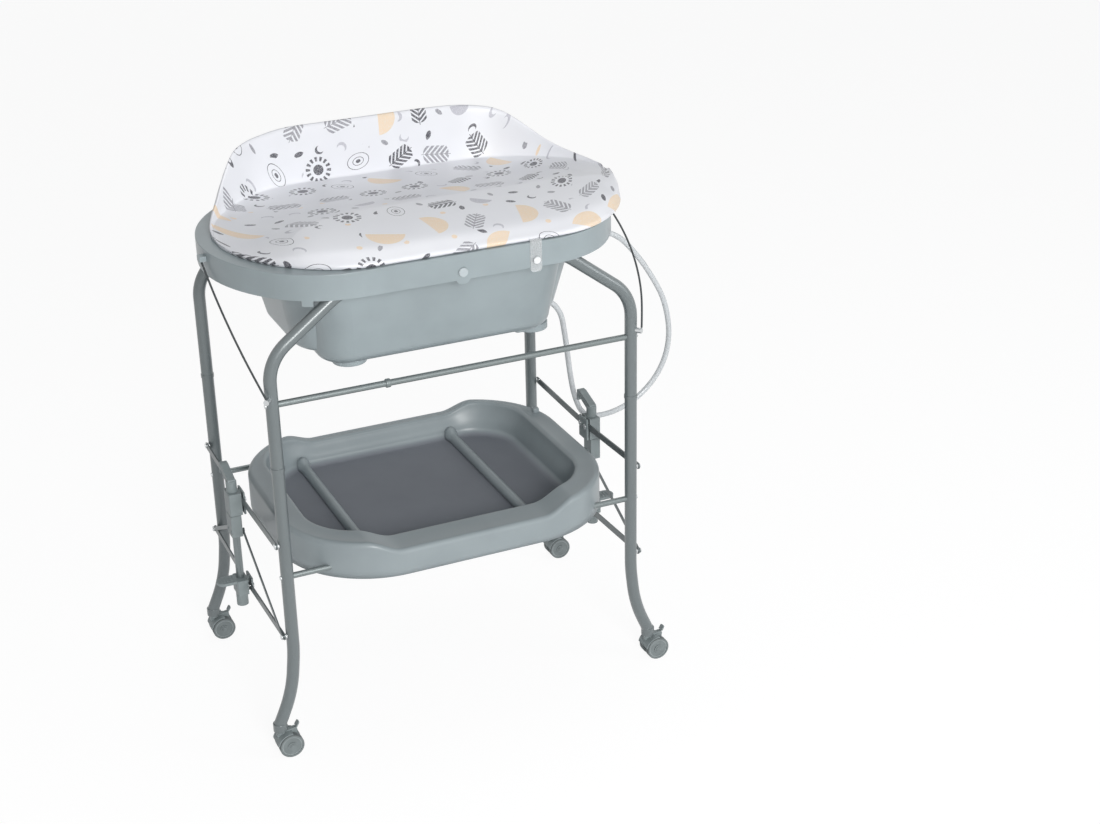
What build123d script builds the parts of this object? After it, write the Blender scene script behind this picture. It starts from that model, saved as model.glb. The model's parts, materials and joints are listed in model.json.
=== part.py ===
from build123d import *
from math import atan2, cos, degrees, hypot, pi, radians, sin, tan
import os

# A folding changing table with a bathtub: two tube hoops, a folding linkage at each end, a tub that
# sits on the hoops' top bars, a padded top, a storage tray and four twin-wheel casters.
# Millimetres. X runs along the tub, Y to the rear and Z up, and the wheels stand on zero.

# Hoops
hoop_y = 250.0
leg_x = 370.0
leg_r = 12.5
tube_wall = 1.2
joint_z = 629.0
top_bar_z = 957.0
top_corner_inset = 150.0
shoulder_drop = 113.0
shoulder_bend_r = 90.0
foot_rise = 14.0
ankle_rise = 70.0
knee_rise = 90.0
ankle_out = 10.0
foot_out = 41.0
knee_bend_r = 400.0
ankle_bend_r = 300.0
sleeve_wall = 1.1
sleeve_height = 7.0
plug_wall = 1.5
plug_height = 17.6

# Cross bars
lower_bar_z = 395.0
lower_bar_r = 6.0
upper_bar_drop = 88.0
upper_bar_r = 6.2
bar_stop_x = -144.0
bar_stop_wall = 2.4
bar_stop_half = 5.0

# Pivots of the folding linkage
lower_pivot_z = 266.0
pivot_spacing = 199.0
link_droop = 8.3
post_pin_y = 12.0
pin_r = 3.0
pin_clearance = 0.06
pin_head_r = 5.5
pin_head_height = 2.4
pin_shoulder_r = 5.6
face_gap = 0.2
link_stand = 2.5
link_thickness = 3.0
link_width = 14.0
rod_stand = 0.5
rod_thickness = 2.5
rod_width = 8.0
rod_pin_y = 11.0
rod_pin_rise = 11.0
rivet_r = 4.2
rivet_height = 1.8
screw_r = 4.6
screw_height = 2.2

# End posts with collar, slider, pedal and handle
post_stand = 17.0
post_r = 8.0
post_wall = 1.5
post_over = (47.0, 21.0)
collar_half = 20.0
collar_cover = 4.0
collar_lip = 4.5
collar_over = (39.0, 9.0)
collar_corner_r = 3.0
slot_clearance = 0.35
web_half = 2.4
slider_half = 18.0
slider_height = 47.0
slider_gap = 2.0
slider_clearance = 0.15
slider_screw_r = 3.2
slider_screw_height = 1.4
bracket_over = (23.0, 10.0)
rod_gap = 0.4
cup_wall = 4.0
cup_floor = 5.0
pedal_length = 50.0
pedal_half = 17.0
pedal_thickness = 6.0
pedal_corner_r = 16.0
pedal_edge_r = 1.0
pedal_rib_count = 5
pedal_rib_pitch = 7.0
pedal_rib_half = 1.3
pedal_rib_height = 1.2
handle_base_wall = 3.0
handle_base_height = 24.0
handle_arm_rise = 3.0
handle_reach = 56.0
handle_rise = 16.0
handle_thickness = 12.0
handle_half = 7.8
handle_lip = (7.0, 13.0)
handle_round = 2.8

# Casters
wheel_r = 25.0
wheel_width = 15.8
wheel_edge = 2.2
wheel_gap = 0.6
wheel_side_gap = 0.7
wheel_recess = 1.6
wheel_hub_r = 9.0
wheel_band = 4.5
axle_r = 3.0
axle_clearance = 0.05
axle_cap_r = 5.0
axle_cap_height = 1.4
caster_trail = 16.0
fork_half = 4.5
fork_r = 12.0
hood_gap = 1.2
hood_wall = 2.0
hood_inset = 1.0
hood_angles = (82.0, 168.0)
boss_r = 10.0
boss_rise = 6.0
boss_height = 10.0
boss_cap = 4.0
boss_step = 1.0
stem_r = 4.0
stem_clearance = 0.06
stem_end_gap = 1.0
caster_gap = 0.4
brake_out = 12.0
brake_rise = 2.5
brake_pin_r = 1.5
brake_hub_r = 3.6
brake_hub_half = 2.2
brake_ear_r = 5.0
brake_pocket_half = 2.5
brake_pocket_r = 7.0
brake_tab_start = 6.4
brake_tab_end = 18.0
brake_tab_half = 6.5
brake_tab_thickness = 2.6
brake_tilt = -60.0

# Tub
rim_over = (45.0, 24.0)
rim_flat_half = 190.0
rim_corner_inset = 30.0
rim_rise = 38.0
rim_skirt = 50.0
tub_wall = 3.0
rim_edge_r = 2.0
well_inset = (153.0, 39.0)
well_taper = (21.0, 56.0)
well_depth = 221.0
well_corner_r = 60.0
well_floor_r = 26.0
end_inset = (100.0, 78.0)
end_taper = (43.0, 44.0)
end_depth = 202.0
end_corner_r = 80.0
end_floor_r = 20.0
foot_inset = (55.0, 47.0)
foot_r = (21.0, 17.0)
foot_height = 11.0
saddle_x = 150.0
saddle_half = (14.0, 16.0)
saddle_clearance = 0.2
saddle_lip = 9.0
saddle_flare = 0.8
notch_reach = (15.0, 64.0)
notch_height = 36.0
drain_y = 40.0
drain_flange = (16.0, 4.0)
drain_body = (9.0, 20.0)
drain_outlet = (7.0, 22.0)
drain_outlet_drop = 12.0
drain_hole_r = 3.0
hose_stub_r = 4.3
hose_stub_length = 10.0
plug_disc = (14.0, 3.0)
plug_grip = (4.0, 7.0)
button_x = 8.0
button_rise = 15.0
button_r = 9.0
button_clearance = 0.25
button_proud = 3.4
button_flange = (11.5, 2.0)
button_tongue = (15.0, 3.0)
tongue_drop = 17.0
strap_x = 157.0
strap_half = 12.0
strap_thickness = 1.2
strap_gap = 0.3
strap_tail = 24.0
knob_rise = 15.0
knob_stem_r = 4.0
knob_head_r = 7.0
knob_proud = 6.5
knob_head = 3.2
rest_tab_x = (-296.0, -278.0)
rest_tab_drop = 11.0

# Hose and its hook
hose_r = 6.0
hose_bore_r = 4.4
hook_y = 48.0
hook_out = 17.0
hook_half = 9.0
hook_thickness = 3.0
hook_low = 7.0
hook_high = 11.0
hook_drop = 5.0
hose_share = 0.45
hose_bends = (
    (282.0, 40.0, 762.0), (350.0, 43.0, 726.0), (366.0, 49.0, 642.0), (378.0, 58.0, 562.0),
    (396.0, 74.0, 490.0), (422.0, 82.0, 434.0), (486.0, 82.0, 426.0), (558.0, 80.0, 452.0),
    (614.0, 76.0, 512.0), (634.0, 72.0, 592.0), (617.0, 68.0, 680.0), (586.0, 64.0, 738.0),
    (548.0, 60.0, 796.0), (494.0, 54.0, 858.0), (432.0, 48.0, 878.0),
)

# Tethers from the front legs to the tub's ends
tether_r = 2.0
tether_start_over = (15.0, 18.0, 22.0)
tether_end_out = 6.0
tether_end_y = -22.0
tether_end_drop = 23.0
tether_runs = 6
tether_bulge = {"left": 6.0, "right": 30.0}
tether_share = 0.45
tether_screw_r = 5.5
tether_screw_reach = 24.0
tether_lug_half = (6.0, 9.0)
tether_lug_height = 10.0
tether_end_gap = 1.8

# Pad
pad_gap = 0.3
pad_middle_x = 27.0
pad_inset = (2.0, 6.0)
pad_flat_half = 180.0
pad_corner_inset = 45.0
pad_front_height = 11.0
pad_shoulder = (53.0, 30.0)
pad_crest = (208.0, 45.0)
pad_flap_thickness = 30.0
pad_crease_height = 17.0
pad_flap_lean = 10.0
pad_flap_height = 134.0
pad_flap_shares = [
    (-1.01, 0.03), (-0.9, 0.21), (-0.8, 0.72), (-0.72, 0.91), (-0.44, 1.0), (0.42, 1.0),
    (0.66, 0.92), (0.77, 0.67), (0.9, 0.31), (1.01, 0.25),
]
pad_body_shares = [(-1.01, 0.2), (-0.86, 0.4), (-0.63, 1.0), (0.9, 1.0), (1.01, 0.84)]
pad_outline_bend = 16.0

# Tray
tray_end_inset = 27.0
tray_over = (62.0, 18.0)
tray_corner_r = 200.0
tray_end_rise = 57.0
tray_middle_rise = 35.0
tray_skirt_drop = 19.0
tray_wall = 3.0
tray_ramp_x = (150.0, 220.0)
basin_inset = 52.0
basin_front_inset = 74.0
basin_rear_inset = 30.0
basin_corner_r = 120.0
basin_draft = 14.0
basin_drop = 13.0
basin_floor_r = 8.0
rib_x = (-190.0, 155.0)
rib_half = (11.0, 7.0)
rib_height = 19.0
tray_saddle_x = 120.0
tray_saddle_half = (12.0, 10.0)
tray_saddle_lip = 4.0
bar_notch = 3.0
bar_slot_inset = 20.0
tray_tab_half = (7.0, 22.0)
tray_tab_height = 9.0
tray_tab_y = 120.0

# How far a cut runs past what it cuts
overrun = 5.0

# Heights and places worked out from the sizes above
shoulder_z = top_bar_z - shoulder_drop
top_corner_x = leg_x - top_corner_inset
upper_bar_z = shoulder_z - upper_bar_drop
bar_stop_r = upper_bar_r + bar_stop_wall
boss_z = (2 * wheel_r + boss_rise - boss_height, 2 * wheel_r + boss_rise)
foot_z = boss_z[1] + foot_rise
ankle_z = foot_z + ankle_rise
knee_z = ankle_z + knee_rise
foot_x = leg_x + foot_out
sleeve_r = leg_r + sleeve_wall
plug_r = leg_r + plug_wall
plug_z = (boss_z[1] + caster_gap, boss_z[1] + caster_gap + plug_height)

upper_pivot_z = lower_pivot_z + pivot_spacing
inner_upper_z = upper_pivot_z - link_droop
inner_lower_z = lower_pivot_z - link_droop
pin_bore = pin_r + pin_clearance
link_x = leg_x + leg_r + link_stand
rod_x = link_x + link_thickness + rod_stand
post_x = link_x + post_stand
post_z = (lower_pivot_z - post_over[0], upper_pivot_z + post_over[1])
collar_inner_x = link_x - collar_lip
collar_outer_x = post_x + post_r + collar_cover
collar_z = (upper_pivot_z - collar_over[0], upper_pivot_z + collar_over[1])
slider_inner_x = rod_x + rod_thickness + rod_stand
slider_z = (collar_z[0] - slider_gap - slider_height, collar_z[0] - slider_gap)
rod_pin_z = slider_z[0] + rod_pin_rise
bracket_z = (lower_pivot_z - bracket_over[0], lower_pivot_z + bracket_over[1])
cup_r = post_r + cup_wall
cup_bottom_z = post_z[0] - cup_floor
pedal_reach = post_x + pedal_length
handle_base_r = post_r + handle_base_wall
handle_arm_z = post_z[1] + handle_arm_rise

wheel_inner_y = fork_half + wheel_side_gap
wheel_outer_y = wheel_inner_y + wheel_width
wheel_recess_r = (wheel_hub_r, wheel_r - wheel_band)
hood_r = (wheel_r + hood_gap, wheel_r + hood_gap + hood_wall)
hood_half = wheel_outer_y - hood_inset
stem_top_z = foot_z
brake_x = caster_trail + brake_out
brake_z = 2 * wheel_r + brake_rise

rim_half_length = leg_x + rim_over[0]
rim_half_depth = hoop_y + rim_over[1]
rim_top_z = top_bar_z + rim_rise
under_flange_z = rim_top_z - tub_wall
skirt_z = rim_top_z - rim_skirt
well_bottom_z = rim_top_z - well_depth
well_top_half = (rim_half_length - well_inset[0], rim_half_depth - well_inset[1])
well_bottom_half = (well_top_half[0] - well_taper[0], well_top_half[1] - well_taper[1])
end_bottom_z = rim_top_z - end_depth
end_top_half = (rim_half_length - end_inset[0], rim_half_depth - end_inset[1])
end_bottom_half = (end_top_half[0] - end_taper[0], end_top_half[1] - end_taper[1])
notch_x = (top_corner_x - notch_reach[0], top_corner_x + notch_reach[1])
foot_at = (well_bottom_half[0] - foot_inset[0], well_bottom_half[1] - foot_inset[1])
foot_bottom_z = well_bottom_z - foot_height
front_y = -rim_half_depth
drain_x = foot_at[0]
button_z = skirt_z + button_rise
knob_z = skirt_z + knob_rise
hook_z = (skirt_z + hook_low, rim_top_z - hook_high)
hose_end = (rim_half_length + hook_out, hook_y, skirt_z - hook_drop)
tether_start = (leg_x + tether_start_over[0], -hoop_y - tether_start_over[1],
                upper_bar_z + tether_start_over[2])
tether_end = (rim_half_length + tether_end_out, tether_end_y, rim_top_z - tether_end_drop)

pad_z = rim_top_z + pad_gap
pad_half_length = rim_half_length - pad_inset[0]
pad_half_depth = rim_half_depth - pad_inset[1]
pad_crease_y = pad_half_depth - pad_flap_thickness

tray_half_length = leg_x - tray_end_inset
tray_front = hoop_y + tray_over[0]
tray_rear = hoop_y + tray_over[1]
tray_end_z = lower_bar_z + tray_end_rise
tray_middle_z = lower_bar_z + tray_middle_rise
tray_skirt_z = lower_bar_z - tray_skirt_drop
basin_half_length = tray_half_length - basin_inset
basin_front = tray_front - basin_front_inset
basin_rear = tray_rear - basin_rear_inset
basin_floor_z = lower_bar_z - basin_drop
bar_slot_x = tray_saddle_x + bar_slot_inset

# Where the part's own origin lies: on the floor, under the middle of the whole outline
right_most = max(pedal_reach, foot_x + caster_trail + wheel_r)
left_most = max(pedal_reach, rim_half_length)
front_most = max(tray_front, rim_half_depth + knob_proud, hoop_y + wheel_outer_y + axle_cap_height)
rear_most = max(tray_rear, rim_half_depth, hoop_y + wheel_outer_y + axle_cap_height)
shift = Location(((left_most - right_most) / 2, (front_most - rear_most) / 2, 0))

ends = (("left", -1), ("right", 1))
hoop_sides = (("front", -1), ("rear", 1))
corners = [(hoop, toward, end, side) for hoop, toward in hoop_sides for end, side in ends]

os.makedirs("parts", exist_ok=True)


def save(name, *solids):
    """Move a piece into the part's own frame and write it to its own file."""
    piece = solids[0] if len(solids) == 1 else Compound(list(solids))
    export_step(shift * piece, f"parts/{name}.step")


def block(x, y, z):
    """A box between two limits on each axis."""
    size = [abs(b - a) for a, b in (x, y, z)]
    middle = [(a + b) / 2 for a, b in (x, y, z)]
    return Pos(*middle) * Box(*size)


def round_bar(r, start, end):
    """A cylinder between two points."""
    a, b = Vector(*start), Vector(*end)
    return extrude(Plane(origin=a, z_dir=b - a) * Circle(r), (b - a).length)


def tube(points, bends, r, bore_r=0):
    """A round tube along straight runs joined by tangent arcs."""
    path = FilletPolyline(*points, radius=list(bends)) if bends else Polyline(*points)
    ring = Circle(r) - Circle(bore_r) if bore_r else Circle(r)
    return sweep(Plane(origin=path @ 0, z_dir=path % 0) * ring, path=path)


def bend_radii(points, share):
    """The radius of each tangent arc, from the shorter neighbouring run and the turn between them."""
    radii = []
    for a, b, c in zip(points, points[1:], points[2:]):
        before, after = Vector(*b) - Vector(*a), Vector(*c) - Vector(*b)
        turn = radians(before.get_angle(after))
        radii.append(share * min(before.length, after.length) / tan(turn / 2))
    return radii


def cord(name, points, share, r, bore_r=0):
    """A soft round cord or hose through the given points; prints its bends and its length."""
    radii = bend_radii(points, share)
    piece = tube(points, radii, r, bore_r)
    section = r * r - bore_r * bore_r
    length = piece.volume / (pi * section)
    runs = [(Vector(*b) - Vector(*a)).length for a, b in zip(points, points[1:])]
    print(name, "length", round(length), "smallest bend", round(min(radii)),
          "runs", round(min(runs)), "to", round(max(runs)))
    return piece


def flat_bar(side, inner_x, thickness, width, start, end, bores):
    """A flat bar with round ends between two (y, z) points, with a hole at each end."""
    length = hypot(end[0] - start[0], end[1] - start[1])
    angle = degrees(atan2(end[1] - start[1], end[0] - start[0]))
    outline = SlotCenterToCenter(length, width)
    for place, bore in zip((-length / 2, length / 2), bores):
        if bore:
            outline -= Pos(place, 0) * Circle(bore)
    middle = ((start[0] + end[0]) / 2, (start[1] + end[1]) / 2)
    plane = Plane(origin=(side * inner_x, *middle), x_dir=(0, 1, 0), z_dir=(side, 0, 0))
    return extrude(plane * Rot(0, 0, side * angle) * outline, thickness)


def along_x(side, inner, outer):
    """The x limits of something between two distances from the middle on one side."""
    return (side * inner, side * outer)


# Hoops

def leg_cylinder(side, toward, r=leg_r):
    """The upright run of a leg, used to trim what meets it."""
    top = (side * leg_x, toward * hoop_y, shoulder_z)
    return round_bar(r, (side * leg_x, toward * hoop_y, knee_z), top)


for hoop, toward in hoop_sides:
    y = toward * hoop_y
    arch_points = [(leg_x, y, joint_z), (leg_x, y, shoulder_z), (top_corner_x, y, top_bar_z),
                   (-top_corner_x, y, top_bar_z), (-leg_x, y, shoulder_z), (-leg_x, y, joint_z)]
    save(f"{hoop}_arch", tube(arch_points, [shoulder_bend_r] * 4, leg_r, leg_r - tube_wall))
    for end, side in ends:
        leg_points = [(side * leg_x, y, joint_z), (side * leg_x, y, knee_z),
                      (side * (leg_x + ankle_out), y, ankle_z), (side * foot_x, y, foot_z)]
        bends = [knee_bend_r, ankle_bend_r]
        leg = tube(leg_points, bends, leg_r)
        hollow = tube(leg_points, bends, leg_r - tube_wall)
        hollow -= block(along_x(side, 0, foot_x + plug_r), (y - plug_r, y + plug_r),
                        (0, plug_z[1] + plug_r))
        leg -= hollow
        sleeve = [(side * leg_x, y, joint_z - sleeve_height), (side * leg_x, y, joint_z)]
        leg += round_bar(sleeve_r, *sleeve) - round_bar(leg_r - tube_wall, *sleeve)
        plug = round_bar(plug_r, (side * foot_x, y, plug_z[0]), (side * foot_x, y, plug_z[1]))
        leg += fillet(plug.edges().filter_by(GeomType.CIRCLE), tube_wall)
        leg -= block(along_x(side, 0, foot_x + leg_r * 2), (y - leg_r * 2, y + leg_r * 2), (0, plug_z[0]))
        leg -= round_bar(stem_r + stem_clearance, (side * foot_x, y, 0),
                         (side * foot_x, y, stem_top_z + stem_end_gap))
        save(f"{hoop}_leg_{end}", leg)


def cross_bar(toward, z, r):
    """A bar from leg to leg, trimmed to the legs' round sides."""
    bar = round_bar(r, (-leg_x, toward * hoop_y, z), (leg_x, toward * hoop_y, z))
    for _, side in ends:
        bar -= leg_cylinder(side, toward)
    return bar


for hoop, toward in hoop_sides:
    save(f"{hoop}_lower_bar", cross_bar(toward, lower_bar_z, lower_bar_r))

upper_bar = cross_bar(-1, upper_bar_z, upper_bar_r)
stop = round_bar(bar_stop_r, (bar_stop_x - bar_stop_half, -hoop_y, upper_bar_z),
                 (bar_stop_x + bar_stop_half, -hoop_y, upper_bar_z))
upper_bar += fillet(stop.edges().filter_by(GeomType.CIRCLE), rim_edge_r)
save("front_upper_bar", upper_bar)


# Pivot pins and screws on the hoops

def pivot_pin(side, toward, z, outer_x):
    """A shouldered pin from the leg's round side out through a flat bar, with a flat head."""
    y = toward * hoop_y
    shoulder = round_bar(pin_shoulder_r, (side * leg_x, y, z), (side * (link_x - face_gap), y, z))
    shank = round_bar(pin_r, (side * leg_x, y, z), (side * (outer_x + face_gap), y, z))
    head = round_bar(pin_head_r, (side * (outer_x + face_gap), y, z),
                     (side * (outer_x + face_gap + pin_head_height), y, z))
    head = chamfer(head.edges().filter_by(GeomType.CIRCLE).sort_by(Axis.X)[-1 if side > 0 else 0],
                   pin_head_height / 3)
    return shoulder + shank + head - leg_cylinder(side, toward)


def leg_screw(side, toward, z):
    """A round-headed screw on a leg's outer side."""
    y = toward * hoop_y
    head = round_bar(screw_r, (side * leg_x, y, z), (side * (leg_x + leg_r + screw_height), y, z))
    head = fillet(head.edges().filter_by(GeomType.CIRCLE).sort_by(Axis.X)[-1 if side > 0 else 0],
                  screw_height / 2)
    return head - leg_cylinder(side, toward)


def tether_screw(side):
    """The screw with a wide head on a front leg that holds one end of a tether."""
    reach = Vector(side * (tether_start[0] - leg_x), tether_start[1] + hoop_y, 0).normalized()
    middle = Vector(side * leg_x, -hoop_y, tether_start[2] - tether_screw_r - tether_end_gap)
    screw = round_bar(tether_screw_r, middle, middle + reach * tether_screw_reach)
    return screw - leg_cylinder(side, -1)


for hoop, toward in hoop_sides:
    pieces = []
    for end, side in ends:
        pieces.append(pivot_pin(side, toward, upper_pivot_z, link_x + link_thickness))
        pieces.append(pivot_pin(side, toward, lower_pivot_z, rod_x + rod_thickness))
        pieces.append(leg_screw(side, toward, lower_bar_z))
        if hoop == "front":
            pieces.append(leg_screw(side, toward, upper_bar_z))
            pieces.append(tether_screw(side))
    save(f"{hoop}_fasteners", *pieces)


# Links and rods

for hoop, toward, end, side in corners:
    for level, outer_z, inner_z in (("upper", upper_pivot_z, inner_upper_z),
                                    ("lower", lower_pivot_z, inner_lower_z)):
        link = flat_bar(side, link_x, link_thickness, link_width, (toward * hoop_y, outer_z),
                        (toward * post_pin_y, inner_z), (pin_bore, pin_bore))
        save(f"{level}_link_{end}_{hoop}", link)
    rod = flat_bar(side, rod_x, rod_thickness, rod_width, (toward * hoop_y, lower_pivot_z),
                   (toward * rod_pin_y, rod_pin_z), (pin_bore, 0))
    eye = round_bar(pin_shoulder_r, (side * rod_x, toward * hoop_y, lower_pivot_z),
                    (side * (rod_x + rod_thickness), toward * hoop_y, lower_pivot_z))
    eye -= round_bar(pin_bore, (0, toward * hoop_y, lower_pivot_z),
                     (side * collar_outer_x, toward * hoop_y, lower_pivot_z))
    rivet = round_bar(rivet_r, (side * (rod_x - rivet_height), toward * rod_pin_y, rod_pin_z),
                      (side * rod_x, toward * rod_pin_y, rod_pin_z))
    save(f"rod_{end}_{hoop}", rod + eye + rivet)


# End posts

def plan_block(side, x, half, z, corner_r):
    """An upright block with rounded corners, as wide as given to both sides of the post."""
    plan = RectangleRounded(abs(x[1] - x[0]), 2 * half, corner_r)
    return extrude(Pos(side * (x[0] + x[1]) / 2, 0, z[0]) * plan, z[1] - z[0])


def post_bore(side, r):
    """A cylinder on the post's axis, longer than the post."""
    return round_bar(r, (side * post_x, 0, 0), (side * post_x, 0, joint_z))


def link_slots(side, outer_x, z):
    """Two open slots for the flat bars, with a web left between them."""
    x = along_x(side, link_x - slot_clearance, outer_x)
    reach = collar_half + overrun
    return block(x, (web_half, reach), z) + block(x, (-reach, -web_half), z)


def pin_bores(side, z):
    """The two holes for the post's pins."""
    x = (side * (collar_inner_x - overrun), side * (post_x - post_r / 2))
    pins = round_bar(pin_r, (x[0], post_pin_y, z), (x[1], post_pin_y, z))
    return pins + round_bar(pin_r, (x[0], -post_pin_y, z), (x[1], -post_pin_y, z))


for end, side in ends:
    post = post_bore(side, post_r) - post_bore(side, post_r - post_wall)
    post &= block(along_x(side, 0, collar_outer_x), (-post_r, post_r), post_z)
    save(f"{end}_post", post)

    collar = plan_block(side, (collar_inner_x, collar_outer_x), collar_half, collar_z, collar_corner_r)
    collar = chamfer(collar.faces().sort_by(Axis.Z)[-1].edges(), collar_corner_r / 3)
    collar -= link_slots(side, link_x + link_thickness + slot_clearance,
                         (collar_z[0] - overrun, collar_z[1] + overrun))
    collar -= post_bore(side, post_r) + pin_bores(side, inner_upper_z)
    save(f"{end}_collar", collar)

    slider = plan_block(side, (slider_inner_x, collar_outer_x), slider_half, slider_z, collar_corner_r / 2)
    slider = chamfer(slider.faces().sort_by(Axis.Z)[-1].edges(), collar_corner_r / 4)
    slider -= post_bore(side, post_r + slider_clearance)
    for _, toward in hoop_sides:
        slider += round_bar(slider_screw_r,
                            (side * (collar_outer_x - slider_screw_height), toward * rod_pin_y, rod_pin_z),
                            (side * (collar_outer_x + slider_screw_height), toward * rod_pin_y, rod_pin_z))
    save(f"{end}_slider", slider)

    bracket = plan_block(side, (collar_inner_x, collar_outer_x), collar_half, bracket_z, collar_corner_r)
    bracket += round_bar(cup_r, (side * post_x, 0, cup_bottom_z), (side * post_x, 0, bracket_z[1]))
    plate_z = (bracket_z[1] - pedal_thickness, bracket_z[1])
    plate_length = pedal_reach - post_x
    plate = RectangleRounded(2 * plate_length, 2 * pedal_half, pedal_corner_r)
    plate = extrude(Pos(side * post_x, 0, plate_z[0]) * plate, pedal_thickness)
    plate &= block(along_x(side, post_x, pedal_reach), (-pedal_half, pedal_half), plate_z)
    bracket += fillet(plate.edges().filter_by(GeomType.CIRCLE), pedal_edge_r)
    for step in range(pedal_rib_count):
        x = pedal_reach - pedal_rib_pitch * (step + 1)
        bracket += block(along_x(side, x - pedal_rib_half, x + pedal_rib_half),
                         (-pedal_half / 2, pedal_half / 2),
                         (bracket_z[1] - pedal_rib_height, bracket_z[1] + pedal_rib_height))
    bracket -= link_slots(side, slider_inner_x - rod_gap / 2,
                           (bracket_z[0] - overrun, bracket_z[1] + overrun))
    socket = post_bore(side, post_r) & block(along_x(side, 0, collar_outer_x), (-post_r, post_r),
                                             (post_z[0], joint_z))
    bracket -= socket + pin_bores(side, inner_lower_z)
    save(f"{end}_pedal", bracket)

    pins = []
    for _, toward in hoop_sides:
        for z in (inner_upper_z, inner_lower_z):
            y = toward * post_pin_y
            shank = round_bar(pin_r, (side * collar_inner_x, y, z), (side * (post_x - post_r / 2), y, z))
            head = round_bar(pin_head_r, (side * (collar_inner_x - pin_head_height), y, z),
                             (side * collar_inner_x, y, z))
            head = chamfer(head.edges().filter_by(GeomType.CIRCLE).sort_by(Axis.X)[0 if side > 0 else -1],
                           pin_head_height / 3)
            pins.append(shank + head)
    save(f"{end}_post_pins", *pins)

    base_z = (collar_z[1], collar_z[1] + handle_base_height)
    base = round_bar(handle_base_r, (side * post_x, 0, base_z[0]), (side * post_x, 0, base_z[1]))
    base = fillet(base.edges().filter_by(GeomType.CIRCLE).sort_by(Axis.Z)[-1], handle_round)
    low, high = handle_arm_z, handle_arm_z + handle_rise
    inner_y = handle_reach - handle_lip[0]
    side_view = [(-post_r, low), (post_r, low), (inner_y, high), (inner_y, high - handle_lip[1]),
                 (handle_reach, high - handle_lip[1]), (handle_reach, high + handle_thickness),
                 (inner_y - post_r, high + handle_thickness), (-post_r, low + handle_thickness)]
    arm = make_face(Polyline(*side_view, close=True))
    arm = fillet(arm.vertices(), handle_round)
    plane = Plane(origin=(side * post_x - handle_half, 0, 0), x_dir=(0, 1, 0), z_dir=(1, 0, 0))
    arm = extrude(plane * arm, 2 * handle_half)
    handle = base + arm
    handle -= post_bore(side, post_r) & block(along_x(side, 0, collar_outer_x), (-post_r, post_r),
                                              (0, post_z[1]))
    save(f"{end}_handle", handle)


# Casters

def caster_plane(x, y, half):
    """A plane in the caster's side view, starting at the given distance before its middle."""
    return Plane(origin=(x, y + half, 0), x_dir=(1, 0, 0), z_dir=(0, -1, 0))


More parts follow.
